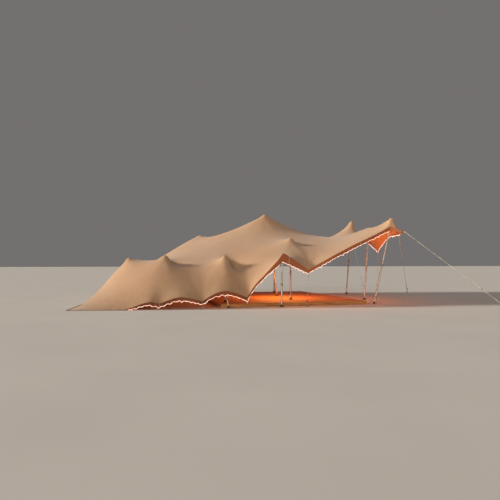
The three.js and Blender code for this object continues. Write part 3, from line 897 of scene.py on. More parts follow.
HEMS = {
    "front": HemSide(FRONT_HEM, COLUMNS, "x", (0, 1)),
    "back": HemSide(BACK_HEM, COLUMNS, "x", (0, -1)),
    "left": HemSide(LEFT_HEM, ROWS, "y", (1, 0)),
    "right": HemSide(RIGHT_HEM, ROWS, "y", (-1, 0)),
}


# Poles


@dataclass(frozen=True)
class PoleMake:
    """The sizes that a kind of pole is made in."""

    radius: float
    cap_radius: float
    foot_radius: float
    legs: int = 0
    leg_reach: float = 0.24
    leg_height: float = 0.29
    leg_radius: float = 0.011


TALL = PoleMake(0.032, 0.082, 0.085)
SPLAYED = PoleMake(0.032, 0.056, 0.06, legs=5)
SHORT = PoleMake(0.026, 0.066, 0.07)
PROP = PoleMake(0.02, 0.044, 0.046)


@dataclass(frozen=True)
class PoleLine:
    """A pole: where its top lifts the fabric to, and where its foot stands.

    `spread` is how widely its cone spreads, `rise` how much of its height is a narrow spire at the tip, and
    `dip` how deep the fabric dips to the right of the tip.
    """

    name: str
    top: tuple[float, float, float]
    foot: tuple[float, float]
    make: PoleMake
    spread: float = 1.0
    rise: float = 0.0
    dip: float = 0.0


@dataclass(frozen=True)
class HemPoleLine:
    """A pole under the hem, whose head only meets the fabric."""

    name: str
    head: tuple[float, float]
    foot: tuple[float, float]
    make: PoleMake


@dataclass(frozen=True)
class Ridge:
    """Two poles that the fabric is drawn tight between, and how tight."""

    first: str
    second: str
    tightness: float


POLES = (
    PoleLine("main_pole", (0, 0, 3.78), (0.55, -0.12), TALL, 1, 0.1),
    PoleLine("left_pole", (-2.73, 1.25, 2.87), (-2.56, 1.18), TALL, 1, 0.065),
    PoleLine("back_right_pole", (5.6, 2.64, 3.8), (5.18, 2.42), TALL, 1, 0.12),
    PoleLine("front_right_pole", (3.98, -4.07, 3.36), (3.38, -3.75), SPLAYED, 3),
    PoleLine("front_middle_pole", (0.32, -2.5, 2.616), (0.36, -2.47), TALL, 3, 0.11, 0.12),
    PoleLine("right_pole", (4.29, -1.67, 3.15), (4.06, -1.64), TALL),
    PoleLine("back_middle_pole", (1.3, 2.6, 2.65), (1.26, 2.53), TALL, 3, 0.11),
    PoleLine("front_left_pole_1", (-5.98, -1.8, 1.785), (-5.83, -1.78), SHORT),
    PoleLine("front_left_pole_2", (-4.68, -2.6, 1.89), (-4.62, -2.56), SHORT, 3, 0.12, 0.26),
    PoleLine("front_left_pole_3", (-2.51, -3.12, 1.9), (-2.48, -3.08), SHORT, 5, 0.17, 0.5),
    PoleLine("back_left_pole_1", (-5.86, 2.5, 1.7), (-5.78, 2.44), SHORT, 3),
    PoleLine("back_left_pole_2", (-4.3, 2.8, 1.82), (-4.25, 2.73), SHORT, 3, 0.1),
)
HEM_POLES = (
    HemPoleLine("front_arch_pole", (-0.59, -4.08), (-0.58, -4.1), TALL),
    HemPoleLine("front_prop", (-2.64, -4.19), (-2.6, -4.17), PROP),
    HemPoleLine("back_arch_pole", (-0.6, 4.13), (-0.59, 4.14), TALL),
)
RIDGES = (
    Ridge("left_pole", "main_pole", 3.4),
    Ridge("right_pole", "front_right_pole", 60),
    Ridge("front_left_pole_2", "left_pole", 1),
    Ridge("front_left_pole_1", "front_left_pole_2", 2.5),
    Ridge("main_pole", "right_pole", 1.3),
)
LOW_POINTS = (
    ("front", 15), ("front", 20), ("front", 28),
    ("right", 12), ("back", 10), ("back", 15), ("back", 24),
)
LOW_PLACES = [HEMS[side].fold([position])[0] for side, position in LOW_POINTS]


# The canopy


@dataclass(frozen=True)
class TensionFolds:
    """Shallow folds that run out from a point like spokes."""

    height: float
    spokes: int
    middle: float
    width: float


POLE_FOLDS = TensionFolds(0.0025, 9, 0.55, 0.3)
HEM_FOLDS = TensionFolds(0.004, 10, 0.6, 0.4)
FOLD_TURN = 1.7


def bell(away: np.ndarray, width: float) -> np.ndarray:
    """Gives a weight that is 1 at no distance and fades away smoothly over a width."""
    return np.exp(-((away / width) ** 2))


def from_point(points: np.ndarray, centre: Sequence[float]) -> tuple[np.ndarray, np.ndarray]:
    """Gives the way from a place to each of some points, seen from above, and its length."""
    offset = points[..., :2] - np.array(centre[:2])
    return offset, np.linalg.norm(offset, axis=-1)


def relax(values: np.ndarray, held: np.ndarray, across: np.ndarray, along: np.ndarray, rounds: int) -> None:
    """Lets every free knot settle at the weighted average of its four neighbours.

    Args:
        values: One number a knot, rows by columns, changed in place.
        held: True where a knot stays.
        across: The stress of each edge from a knot to the one on its right.
        along: The stress of each edge from a knot to the one behind it.
        rounds: How many times every knot is moved.
    """
    factor = 2 / (1 + math.pi / max(values.shape))
    west, east = across[1:-1, :-1], across[1:-1, 1:]
    south, north = along[:-1, 1:-1], along[1:, 1:-1]
    total = west + east + south + north
    row, column = np.indices(values.shape)
    free = ~held[1:-1, 1:-1]
    parity = ((row + column) % 2)[1:-1, 1:-1]
    masks = [free & (parity == k) for k in (0, 1)]
    inner = values[1:-1, 1:-1]
    for _ in range(rounds):
        for mask in masks:
            mean = west * values[1:-1, :-2] + east * values[1:-1, 2:]
            mean += south * values[:-2, 1:-1] + north * values[2:, 1:-1]
            inner += np.where(mask, factor * (mean / total - inner), 0)


def smooth_upsampling(count: int, factor: int) -> np.ndarray:
    """Gives the matrix that makes a smooth curve through evenly spaced values finer.

    Args:
        count: How many values there are.
        factor: New steps in each old one.

    Returns:
        One row of weights for each new value.
    """
    fine = (count - 1) * factor + 1
    matrix = np.zeros((fine, count))
    for i in range(fine):
        k = min(i // factor, count - 2)
        t = i / factor - k
        weights = (
            (-t + 2 * t * t - t**3) / 2,
            (2 - 5 * t * t + 3 * t**3) / 2,
            (t + 4 * t * t - 3 * t**3) / 2,
            (t**3 - t * t) / 2,
        )
        for at, weight in zip((k - 1, k, k + 1, k + 2), weights, strict=True):
            if at < 0:
                matrix[i, 0] += 2 * weight
                matrix[i, 1] -= weight
            elif at > count - 1:
                matrix[i, count - 1] += 2 * weight
                matrix[i, count - 2] -= weight
            else:
                matrix[i, at] += weight
    return matrix


@dataclass
class Canopy:
    """The sheet of stretch fabric, settled over its poles on a fine net, with hem band, seams and bead."""

    fineness: int = 6
    rings: int = 5
    thickness: float = 0.004
    pole_reach: float = 5.0
    tie_reach: float = 8.0
    point_core: float = 0.1
    left_hem_reach: float = 60.0
    left_hem_core: float = 0.3
    ridge_reach: float = 30.0
    ridge_core: float = 0.1
    ridge_width: float = 2.0
    knot_rounds: int = 8
    tip_gather: float = 0.55
    tip_gather_width: float = 0.36
    cap_reach: float = 0.115
    cap_curve: float = 0.3
    rise_width: float = 0.24
    rise_blunt: float = 0.05
    plan_rounds: int = 500
    height_rounds: int = 1500
    dip_start: float = 0.2
    dip_edge: float = 0.06
    dip_length: float = 0.8
    dip_back: float = 0.12
    dip_width: float = 0.5
    dip_clear: float = 0.16
    seam_every: int = 5
    seam_width: float = 0.034
    seam_bevel: float = 0.004
    seam_height: float = 0.0008
    seam_depth: float = 0.0006
    seam_off_ground: float = 0.0005
    bead_radius: float = 0.006
    flat: tuple[float, float] = (9.0, 14.0)
    net: np.ndarray = field(init=False)
    skin: np.ndarray = field(init=False)
    normals: np.ndarray = field(init=False)

    def __post_init__(self) -> None:
        """Settles the net, then folds its hem down round the edge."""
        self.net = self._settled_net()
        self.skin = self._with_band()
        self.normals = self._skin_normals()

    def _pole_knot(self, x: float, y: float) -> tuple[int, int]:
        """Finds the knot of the coarse net that a pole's top takes.

        Args:
            x: The top's place to the right.
            y: The top's place to the back.

        Returns:
            Its row and its column.
        """
        u, v = 0.5, 0.5
        for _ in range(self.knot_rounds):
            left = FRONT_LEFT.x + (BACK_LEFT.x - FRONT_LEFT.x) * v
            right = FRONT_RIGHT.x + (BACK_RIGHT.x - FRONT_RIGHT.x) * v
            u = (x - left) / (right - left)
            front = FRONT_LEFT.y + (FRONT_RIGHT.y - FRONT_LEFT.y) * u
            back = BACK_LEFT.y + (BACK_RIGHT.y - BACK_LEFT.y) * u
            v = (y - front) / (back - front)
        return math.floor(v * ROWS + 0.5), math.floor(u * COLUMNS + 0.5)

    def _plan(self) -> np.ndarray:
        """Settles the coarse net seen from above.

        Returns:
            Its x and y, rows by columns.
        """
        folds = {side: hem.fold(hem.places(1))[:, :2] for side, hem in HEMS.items()}
        share = (np.arange(COLUMNS + 1) / COLUMNS)[:, None]
        plan = folds["left"][:, None] * (1 - share) + folds["right"][:, None] * share
        plan[0], plan[-1] = folds["front"], folds["back"]
        held = np.zeros(plan.shape[:2], bool)
        for pole in POLES:
            knot = self._pole_knot(*pole.top[:2])
            plan[knot] = pole.top[:2]
            held[knot] = True
        for axis in (0, 1):
            values = plan[:, :, axis].copy()
            relax(values, held, np.ones((ROWS + 1, COLUMNS)), np.ones((ROWS, COLUMNS + 1)), self.plan_rounds)
            plan[:, :, axis] = values
        return plan

    def _stress(self, start: np.ndarray, end: np.ndarray) -> np.ndarray:
        """Gives the fabric's stress along edges of the net.

        It gathers at each pole and low point, which makes straight-sided cones there, runs along ridges, and
        gathers along the left hem, where the fabric is stretched down to the ground.

        Args:
            start: Where the edges start, seen from above.
            end: Where they end.

        Returns:
            One number an edge.
        """
        middle, edge = (start + end) / 2, unit(end - start)
        stress = np.ones(middle.shape[:-1])
        tops = {pole.name: np.array(pole.top[:2]) for pole in POLES}
        pulls = [(pole.top, pole.spread * self.pole_reach) for pole in POLES]
        for centre, pull in pulls + [(place, self.tie_reach) for place in LOW_PLACES]:
            stress += pull / (from_point(middle, centre)[1] + self.point_core)
        hem = HEMS["left"].fold(HEMS["left"].places(1))
        away = np.abs(middle[..., 0] - np.interp(middle[..., 1], hem[:, 1], hem[:, 0]))
        stress += self.left_hem_reach / (away + self.left_hem_core)
        for ridge in RIDGES:
            first, line = tops[ridge.first], tops[ridge.second] - tops[ridge.first]
            share = np.clip((middle - first) @ line / float(line @ line), 0, 1)
            distance = np.linalg.norm(middle - first - share[..., None] * line, axis=-1)
            pull = ridge.tightness * (edge @ unit(line)) ** 2 * bell(distance, self.ridge_width)
            stress += pull * self.ridge_reach / (distance + self.ridge_core)
        return stress

    def _settled_net(self) -> np.ndarray:
        """Settles the fine net.

        Returns:
            Its points, rows by columns.
        """
        by_row = smooth_upsampling(ROWS + 1, self.fineness)
        by_column = smooth_upsampling(COLUMNS + 1, self.fineness)
        plan = np.einsum("ri,ijk,cj->rck", by_row, self._plan(), by_column)
        self._gather_at_tips(plan)
        height = np.zeros(plan.shape[:2])
        levels = {side: hem.fold(hem.places(self.fineness))[:, 2] for side, hem in HEMS.items()}
        height[:, 0], height[:, -1] = levels["left"], levels["right"]
        height[0], height[-1] = levels["front"], levels["back"]
        share = np.linspace(0, 1, len(height))[1:-1, None]
        height[1:-1, 1:-1] = (height[0] * (1 - share) + height[-1] * share)[:, 1:-1]
        held = np.zeros(height.shape, bool)
        for pole in POLES:
            _, away = from_point(plan, pole.top)
            near = away < self.cap_reach * pole.make.cap_radius / TALL.cap_radius
            near[1:-1, 1:-1] |= away[1:-1, 1:-1] == away[1:-1, 1:-1].min()
            height[near] = pole.top[2] - pole.rise - away[near] ** 2 / (2 * self.cap_curve)
            held |= near
        across = self._stress(plan[:, :-1], plan[:, 1:])
        along = self._stress(plan[:-1], plan[1:])
        relax(height, held, across, along, self.height_rounds)
        net = np.concatenate([plan, height[..., None]], axis=-1)
        net[1:-1, 1:-1, 2] += (self._tension_folds(net) + self._tip_shapes(net))[1:-1, 1:-1]
        return net

    def _gather_at_tips(self, plan: np.ndarray) -> None:
        """Draws the fine net's points closer together round each pole's tip, so that its cap is round.

        Args:
            plan: The net seen from above, changed in place.
        """
        inner = plan[1:-1, 1:-1]
        for pole in POLES:
            offset, away = from_point(inner, pole.top)
            inner -= offset * self.tip_gather * bell(away, self.tip_gather_width)[..., None]

    @staticmethod
    def _tension_folds(net: np.ndarray) -> np.ndarray:
        """Gives the shallow folds that run out from the poles and up from where the hem is held down.

        Args:
            net: The settled points.

        Returns:
            A change of height at each knot.
        """
        change = np.zeros(net.shape[:2])
        centres = [(pole.top, POLE_FOLDS, FOLD_TURN * k) for k, pole in enumerate(POLES)]
        centres += [(place, HEM_FOLDS, low[1]) for place, low in zip(LOW_PLACES, LOW_POINTS, strict=True)]
        for centre, folds, turn in centres:
            offset, away = from_point(net, centre)
            angle = np.arctan2(offset[..., 1], offset[..., 0])
            spread = bell(away - folds.middle, folds.width)
            change += folds.height * spread * np.cos(folds.spokes * angle + turn)
        return change

    def _spire_drop(self, pole: PoleLine, away: np.ndarray) -> np.ndarray:
        """Gives how far a pole's narrow spire has dropped at a distance from its tip."""
        blunt = np.hypot(away, self.rise_blunt) - self.rise_blunt
        return pole.rise * (1 - np.exp(-blunt / self.rise_width))

    def cap_drop(self, pole: PoleLine, away: np.ndarray) -> np.ndarray:
        """Gives how far the fabric over a pole's cap has dropped at a distance from its tip."""
        return away**2 / (2 * self.cap_curve) + self._spire_drop(pole, away)

    def _tip_shapes(self, net: np.ndarray) -> np.ndarray:
        """Gives the narrow spires at the tips, and the soft dips beside those at the front.

        Args:
            net: The settled points.

        Returns:
            A change of height at each knot.
        """
        change = np.zeros(net.shape[:2])
        for pole in POLES:
            offset, from_tip = from_point(net, pole.top)
            change += pole.rise - self._spire_drop(pole, from_tip)
            right = 1 / (1 + np.exp((self.dip_start - offset[..., 0]) / self.dip_edge))
            right *= bell(offset[..., 0], self.dip_length)
            right *= bell(offset[..., 1] - self.dip_back, self.dip_width)
            change -= pole.dip * right * (1 - np.exp(-((from_tip / self.dip_clear) ** 4)))
        return change

    def _with_band(self) -> np.ndarray:
        """Adds the rings of the hem band round the net, and rounds the fold between them.

        Returns:
            The points of net and band, rows by columns.
        """
        b = self.rings
        rows, columns = self.net.shape[:2]
        skin = np.pad(self.net, ((b, b), (b, b), (0, 0)), mode="edge")
        bands = {}
        for side, hem in HEMS.items():
            bands[side] = np.pad(hem.band(hem.places(self.fineness)), ((b, b), (0, 0)), mode="edge")
        by_row, by_column = np.zeros_like(skin), np.zeros_like(skin)
        by_row[:b], by_row[-b:] = bands["front"], bands["back"]
        by_column[:, :b], by_column[:, -b:] = bands["left"][:, None], bands["right"][:, None]
        past = []
        for count in (rows, columns):
            at = np.arange(-b, count + b)
            past.append(np.abs(at - np.clip(at, 0, count - 1)) / b)
        shares = np.meshgrid(*past, indexing="ij")
        total, most = np.maximum(shares[0] + shares[1], 1e-9), np.maximum(*shares)
        for share, offset in zip(shares, (by_row, by_column), strict=True):
            skin[..., :2] += offset[..., :2] * share[..., None]
            skin[..., 2] += offset[..., 2] * share / total * most
        before = skin.copy()
        across = skin.swapaxes(0, 1), before.swapaxes(0, 1)
        for new, old, count in ((skin, before, rows), (*across, columns)):
            for at in (b, count + b - 1):
                new[at, b:-b] = (old[at - 1, b:-b] + 2 * old[at, b:-b] + old[at + 1, b:-b]) / 4
        skin[..., 2] = np.maximum(skin[..., 2], self.thickness / 2)
        return skin

    def _skin_normals(self) -> np.ndarray:
        """Gives the direction out of the fabric's upper side at every point."""
        return unit(np.cross(np.gradient(self.skin, axis=1), np.gradient(self.skin, axis=0)))

    def under(self, x: float, y: float, reach: float) -> tuple[np.ndarray, np.ndarray]:
        """Finds the fabric's underside over a place.

        Args:
            x: The place to the right.
            y: The place to the back.
            reach: How far round it the fabric counts.

        Returns:
            The point under the fabric, and the direction out of its upper side there.
        """
        inside = slice(self.rings, -self.rings)
        points = self.skin[inside, inside].reshape(-1, 3)
        weights = bell(from_point(points, (x, y))[1], reach)
        normal = unit(weights @ self.normals[inside, inside].reshape(-1, 3))
        middle = weights @ points / weights.sum()
        height = middle[2] - ((x - middle[0]) * normal[0] + (y - middle[1]) * normal[1]) / normal[2]
        return np.array([x, y, height]) - normal * self.thickness / 2, normal

    def build(self, poles: Sequence[bpy.types.Object]) -> None:
        """Builds the sheet, its seams and its bead.

        Args:
            poles: The poles that hold it up; not used.
        """
        sheet = self._build_sheet()
        seams = self._build_seams()
        bead = self._build_bead()

    def _build_sheet(self) -> bpy.types.Object:
        """Builds the closed sheet, with its outside and its inside finished apart.

        Returns:
            The piece.
        """
        offset = self.normals * self.thickness / 2
        over, under = (self.skin + offset).reshape(-1, 3), (self.skin - offset).reshape(-1, 3)
        under[:, 2] = np.maximum(under[:, 2], 0.0)
        count = len(over)
        at = np.arange(count).reshape(self.skin.shape[:2])
        top = np.stack([at[:-1, :-1], at[:-1, 1:], at[1:, 1:], at[1:, :-1]], axis=-1).reshape(-1, 4)
        walls = [(b, a, count + a, count + b) for a, b in itertools.pairwise(rim(at).tolist())]
        # The outside takes the plain knit, the inside the copy with painted warm glow, and the band rings and
        # cut edges the darker copy with painted warm shade
        outside = np.full(at[1:, 1:].shape, 2)
        outside[self.rings : -self.rings, self.rings : -self.rings] = 0
        marks = outside.ravel().tolist() + [1] * len(top) + [2] * len(walls)
        mesh = bpy.data.meshes.new("canopy_sheet")
        faces = np.concatenate([top, count + top[:, ::-1], walls])
        mesh.from_pydata(np.concatenate([over, under]).tolist(), [], faces.tolist())
        self._lay_cloth_map(mesh)
        strips = [f"canopy_strip_{k}" for k in range(1, 9)]
        return make_piece(mesh, marks, (KNIT_TOP, KNIT_UNDER_PAINTED_GLOW, KNIT_BAND_PAINTED_SHADE), strips)

    def _lay_cloth_map(self, mesh: bpy.types.Mesh) -> None:
        """Lays out the cloth map in metres of flat cloth.

        Args:
            mesh: The sheet.
        """
        rows, columns = self.skin.shape[:2]
        corners = np.zeros(len(mesh.loops), np.int64)
        mesh.loops.foreach_get("vertex_index", corners)
        row, column = np.divmod(corners % (rows * columns), columns)
        along, across = row / (rows - 1) * self.flat[0], column / (columns - 1) * self.flat[1]
        layer = mesh.uv_layers.new(name="cloth")
        layer.data.foreach_set("uv", np.stack([across, along], axis=1).ravel())

    def _build_seams(self) -> bpy.types.Object:
        """Builds the lapped seams between the widths of fabric.

        Returns:
            The piece.
        """
        shape = Shape(KNIT_TOP)
        half = self.seam_width / 2
        steps = np.gradient(self.skin, axis=1)
        for column in range(self.seam_every, COLUMNS, self.seam_every):
            at = column * self.fineness + self.rings
            line, normal = self.skin[:, at], self.normals[:, at]
            sideways = unit(steps[:, at])
            low = line + normal * (self.thickness / 2 - self.seam_depth)
            high = line + normal * (self.thickness / 2 + self.seam_height)
            wide, narrow = sideways * half, sideways * (half - self.seam_bevel)
            points = np.stack([low - wide, low + wide, high + narrow, high - narrow], axis=1).reshape(-1, 3)
            points[:, 2] = np.maximum(points[:, 2], self.seam_off_ground)
            shape.add(points, tube_faces(len(line), 4))
        return shape.make("canopy_seams", "canopy_fabric", sharp=60.0)

    def _build_bead(self) -> bpy.types.Object:
        """Builds the rolled bead along the band's lower edge.

        Returns:
            The piece.
        """
        shape = Shape(KNIT_TAPE)
        edge = rim(self.skin)
        edge[:, 2] = np.maximum(edge[:, 2], self.bead_radius)
        shape.sweep(edge, self.bead_radius, 8)
        return shape.make("canopy_hem_bead", "canopy_fabric")


# The deck


@dataclass
class Deck:
    """A low deck of oiled pine boards on bearers, with fascia boards round its edge."""

    left: float = -2.82
    right: float = 2.95
    front: float = -3.95
    back: float = 3.1
    top: float = 0.126
    floor: float = 0.03
    board: float = 0.032
    board_width: float = 0.1375
    board_gap: float = 0.0035
    board_ends: float = 0.002
    board_bevel: float = 0.003
    fascia_bevel: float = 0.0035
    joints: tuple[float, ...] = (0.0, -1.4, 1.5)
    screw: Profile = ((0, 0.005), (0.0014, 0.005), (0.0018, 0.003))
    screw_depth: float = 0.001
    screw_in_x: float = 0.03
    screw_in_y: float = 0.035
    bearers_each_side: int = 4
    bearer_every: float = 0.6
    bearer_half: float = 0.022
    seed: int = 7
    rng: np.random.Generator = field(init=False)
    under: float = field(init=False)
    inner: tuple[float, float] = field(init=False)

    def __post_init__(self) -> None:
        """Starts the random tones, and works out where the fascias and bearers end."""
        self.rng = np.random.default_rng(self.seed)
        self.under = self.top - self.floor - CONTACT_GAP
        self.inner = (self.front + self.board + CONTACT_GAP, self.back - self.board - CONTACT_GAP)

    def build(self) -> None:
        """Builds the boards, the fascias and the bearers."""
        self._build_floor()
        self._build_fascias()
        self._build_bearers()

    def _build_floor(self) -> None:
        """Lays rows of boards from front to back, with joints that step from row to row."""
        shape = Shape(BOARDS_X, ZINC)
        depth = self.back - self.front + self.board_gap
        rows = int(depth / (self.board_width + self.board_gap))
        for row in range(rows):
            y0 = self.front + row * (depth / rows)
            y1 = y0 + depth / rows - self.board_gap
            joint, half_gap = self.joints[row % len(self.joints)], self.board_ends / 2
            for x0, x1 in ((self.left, joint - half_gap), (joint + half_gap, self.right)):
                ends = (x0, y0, self.top - self.floor), (x1, y1, self.top)
                shape.board(*ends, self.board_bevel, float(self.rng.random()))
                across = (x0 + self.screw_in_x, x1 - self.screw_in_x)
                along = (y0 + self.screw_in_y, y1 - self.screw_in_y)
                for x, y in itertools.product(across, along):
                    shape.revolve((x, y, self.top - self.screw_depth), UP, self.screw, 8, 1)
        shape.make("deck_boards", "deck_timber", ["deck_floor"])

    def _build_fascias(self) -> None:
        """Builds the four fascia boards."""
        near, far = self.inner
        sides = {
            "front": (BOARDS_X, (self.left, self.front), (self.right, self.front + self.board)),
            "back": (BOARDS_X, (self.left, self.back - self.board), (self.right, self.back)),
            "left": (BOARDS_Y, (self.left, near), (self.left + self.board, far)),
            "right": (BOARDS_Y, (self.right - self.board, near), (self.right, far)),
        }
        for side, (finish, low, high) in sides.items():
            shape = Shape(finish)
            shape.board((*low, 0.0), (*high, self.under), self.fascia_bevel, float(self.rng.random()))
            shape.make(f"deck_{side}_board", "deck_timber", [f"deck_{side}_fascia"])

    def _build_bearers(self) -> None:
        """Builds the bearers under the boards, of which the middle one is wider."""
        shape = Shape(BOARDS_Y)
        near, far = self.inner
        for k in range(-self.bearers_each_side, self.bearers_each_side + 1):
            x, half = k * self.bearer_every, self.bearer_half if k else self.board
            ends = (x - half, near, 0.0), (x + half, far, self.under)
            shape.board(*ends, self.board_bevel, float(self.rng.random()))
        shape.make("deck_bearers", "deck_timber", ["deck_centre_bearer"])


# The poles themselves


@dataclass
class PoleSet:
    """All the poles: turned rubber feet, two-part tubes joined by a collar, and mushroom caps.

    Each profile gives heights, with radii as shares of the tube's, foot's or leg's own radius.
    """

    canopy: Canopy
    deck: Deck
    foot: Profile = ((0, 0.94), (0.004, 1), (0.012, 1), (0.018, 0.93), (0.024, 0.72))
    foot_neck: Profile = ((0.03, 1.5), (0.034, 1.42))
    socket: Profile = ((0, 1.3), (0.05, 1.24), (0.06, 1.02))
    socket_sunk: float = 0.012
    tube_end: tuple[float, float] = (0.002, 0.97)
    collar: Profile = (
        (0, 1.08), (0.004, 1.22), (0.03, 1.22), (0.034, 1.14),
        (0.056, 1.14), (0.06, 1.24), (0.082, 1.24), (0.088, 1.05),
    )
    collar_half: float = 0.045
    pivot_out: float = 1.35
    pivot_up: float = 0.02
    pivot_half: float = 0.018
    pivot_radius: float = 0.007
    lever: tuple[tuple[float, float], ...] = ((0, 0), (0.012, -0.03), (0.006, -0.085))
    lever_radii: tuple[float, ...] = (0.007, 0.006, 0.004)
    hub_height: float = 0.032
    joint_share: float = 0.46
    overlap: float = 0.02
    slimmer: float = 0.86
    cap_clear: float = 0.001
    hem_cap_clear: float = 0.006
    neck_drop: float = 0.05
    neck_share: float = 0.12
    flat_crown: float = 0.2
    crown_clear: float = 0.006
    crown_shares: np.ndarray = field(default_factory=lambda: np.array([0.0, 0.25, 0.5, 0.7, 0.85, 0.93]))
    rim: Profile = ((-0.006, 1), (-0.012, 0.96), (-0.016, 0.6))
    stem: Profile = ((-0.024, 1.35), (-0.075, 1.25), (-0.08, 1.02))
    leg_hub: Profile = ((-0.03, 0.036), (-0.025, 0.05), (0.015, 0.05), (0.02, 0.036))
    leg_start: float = 0.04
    knee_lift: float = 0.008
    leg_radii: tuple[float, ...] = (0.012, 0.0105, 0.0095)
    leg_foot: Profile = ((0, 0.02), (0.003, 0.022), (0.012, 0.021), (0.018, 0.012))

    def build(self) -> list[bpy.types.Object]:
        """Builds every pole.

        Returns:
            The pieces.
        """
        built = []
        for pole in POLES:
            top = np.array(pole.top) - UP * (self.canopy.thickness / 2 + self.cap_clear)
            away = self.crown_shares * pole.make.cap_radius
            drop = self.canopy.cap_drop(pole, away) + self.crown_clear * self.crown_shares**2
            built.append(self._build_pole(pole, top, UP, drop))
        for pole in HEM_POLES:
            drop = (self.crown_shares * pole.make.cap_radius) ** 2 / (2 * self.flat_crown)
            top, normal = self.canopy.under(*pole.head, reach=pole.make.cap_radius)
            built.append(self._build_pole(pole, top - normal * self.hem_cap_clear, normal, drop))
        return built

    def floor_at(self, x: float, y: float) -> float:
        """Gives the height that a foot stands at, on the deck or on the ground."""
        on_deck = self.deck.left < x < self.deck.right and self.deck.front < y < self.deck.back
        return self.deck.top + CONTACT_GAP if on_deck else 0.0

    def _build_pole(
        self, pole: PoleLine | HemPoleLine, top: np.ndarray, cap_axis: np.ndarray, drop: np.ndarray
    ) -> bpy.types.Object:
        """Builds one pole.

        Args:
            pole: Its line and its sizes.
            top: The top of its cap.
            cap_axis: The direction that the cap faces.
            drop: How far the cap's crown has dropped at each of the crown shares.

        Returns:
            The piece.
        """
        shape, make = Shape(TUBE, RUBBER, COLLAR), pole.make
        radius, upper = make.radius, make.radius * self.slimmer
        base = np.array([*pole.foot, self.floor_at(*pole.foot)])
        shape.revolve(base, UP, scaled(self.foot, make.foot_radius) + scaled(self.foot_neck, radius), 28, 1)
        hub = base + UP * self.hub_height
        neck = top - cap_axis * (self.neck_drop + make.cap_radius * self.neck_share)
        along = unit(neck - hub)
        length = float(np.linalg.norm(neck - hub))
        joint = length * self.joint_share
        shape.revolve(hub - along * self.socket_sunk, along, scaled(self.socket, radius), 24, 1)
        chamfer, narrower = self.tube_end
        lower = [(0, radius), (joint, radius), (joint + chamfer, radius * narrower)]
        shape.revolve(hub, along, lower, 24)
        self._add_collar(shape, hub + along * joint, along, radius)
        start = hub + along * (joint - self.overlap)
        shape.revolve(start, along, [(0, upper), (length - joint + self.overlap, upper)], 24)
        crown = list(zip(-drop, self.crown_shares * make.cap_radius, strict=True))
        low, wide = crown[-1]
        under = scaled(self.rim, wide) + scaled(self.stem, upper)
        shape.revolve(top, cap_axis, crown + [(low + height, r) for height, r in under], 28, 1)
        if make.legs:
            self._add_legs(shape, base, along, make)
        return shape.make(f"{pole.name}_tube", "pole_tube", [pole.name])

    def _add_collar(self, shape: Shape, at: np.ndarray, along: np.ndarray, radius: float) -> None:
        """Adds the cast collar that locks the two tubes, with its lever.

        Args:
            shape: The pole.
            at: The collar's middle.
            along: The pole's direction.
            radius: The lower tube's radius.
        """
        shape.revolve(at - along * self.collar_half, along, scaled(self.collar, radius), 24, 2)
        side, other = side_axes(along)
        pivot = at + side * radius * self.pivot_out + along * self.pivot_up
        half = other * self.pivot_half
        shape.sweep(np.array([pivot - half, pivot + half]), self.pivot_radius, 10, 2)
        lever = np.array([pivot + side * out + along * up for out, up in self.lever])
        shape.sweep(lever, self.lever_radii, 8, 1)

    def _add_legs(self, shape: Shape, base: np.ndarray, along: np.ndarray, make: PoleMake) -> None:
        """Adds thin legs that splay from the pole down to the ground.

        Args:
            shape: The pole.
            base: Where the pole stands.
            along: The pole's direction.
            make: Its sizes.
        """
        hub = base + along * make.leg_height
        shape.revolve(hub, along, self.leg_hub, 20, 2)
        for leg in range(make.legs):
            angle = 2 * math.pi * (leg + 0.5) / make.legs
            out = np.array([math.cos(angle), math.sin(angle), 0.0])
            toe = base + out * make.leg_reach + UP * make.leg_radius
            start = hub + out * self.leg_start
            knee = (start + toe) / 2 + UP * self.knee_lift
            shape.sweep(np.array([start, knee, toe]), self.leg_radii, 10)
            shape.revolve(toe * (1, 1, 0), UP, self.leg_foot, 14, 1)


# Ropes, stakes and pegs


@dataclass(frozen=True)
class StakeMake:
    """The sizes of a kind of stake, and of the turns of rope round it."""

    radius: float
    length: float
    head_radius: float
    head_height: float
    lean: float
    rope_height: float
    turns: int = 2
    turn_gap: float = 0.0
    turn_pitch: float = 1.0
    turn_steps: int = 20
    turn_rope: float = 0.48
    hidden_share: float = 0.6
    head_edge: float = 0.9
    head_crown: float = 0.8


STAKE = StakeMake(0.016, 0.26, 0.03, 0.014, 0.3, 0.11, turns=3, turn_gap=0.0005, turn_pitch=1.02)
PEG = StakeMake(0.01, 0.13, 0.02, 0.01, 0.25, 0.07)


@dataclass(frozen=True)
class RopeLine:
    """A rope from a place on the hem to a stake; `pull` is set where it holds a corner out."""

    name: str
    hem: str
    position: int
    ground: tuple[float, float]
    pull: tuple[float, float, float] | None = None


@dataclass(frozen=True)
class PegLine:
    """A low peg that holds a dip of the hem down, beside it."""

    name: str
    hem: str
    position: int
    offset: float


GUYS = (
    RopeLine("front_right_guy", "front", 40, (6.54, -7.03), (1, -1, 0)),
    RopeLine("right_side_guy", "right", 2, (8.54, 2.06), (1, -0.24, 0)),
    RopeLine("front_tie", "front", 28, (0.34, -4.33)),
    RopeLine("right_tie", "right", 12, (5.09, -0.9)),
    RopeLine("back_right_guy", "back", 40, (8.2, 6.3), (1, 1, 0)),
    RopeLine("back_tie", "back", 24, (0.76, 4.56)),
)
HEM_PEGS = (
    PegLine("front_hem_peg_1", "front", 15, -0.06),
    PegLine("front_hem_peg_2", "front", 20, -0.06),
    PegLine("back_hem_peg_1", "back", 10, 0.06),
    PegLine("back_hem_peg_2", "back", 15, 0.06),
)


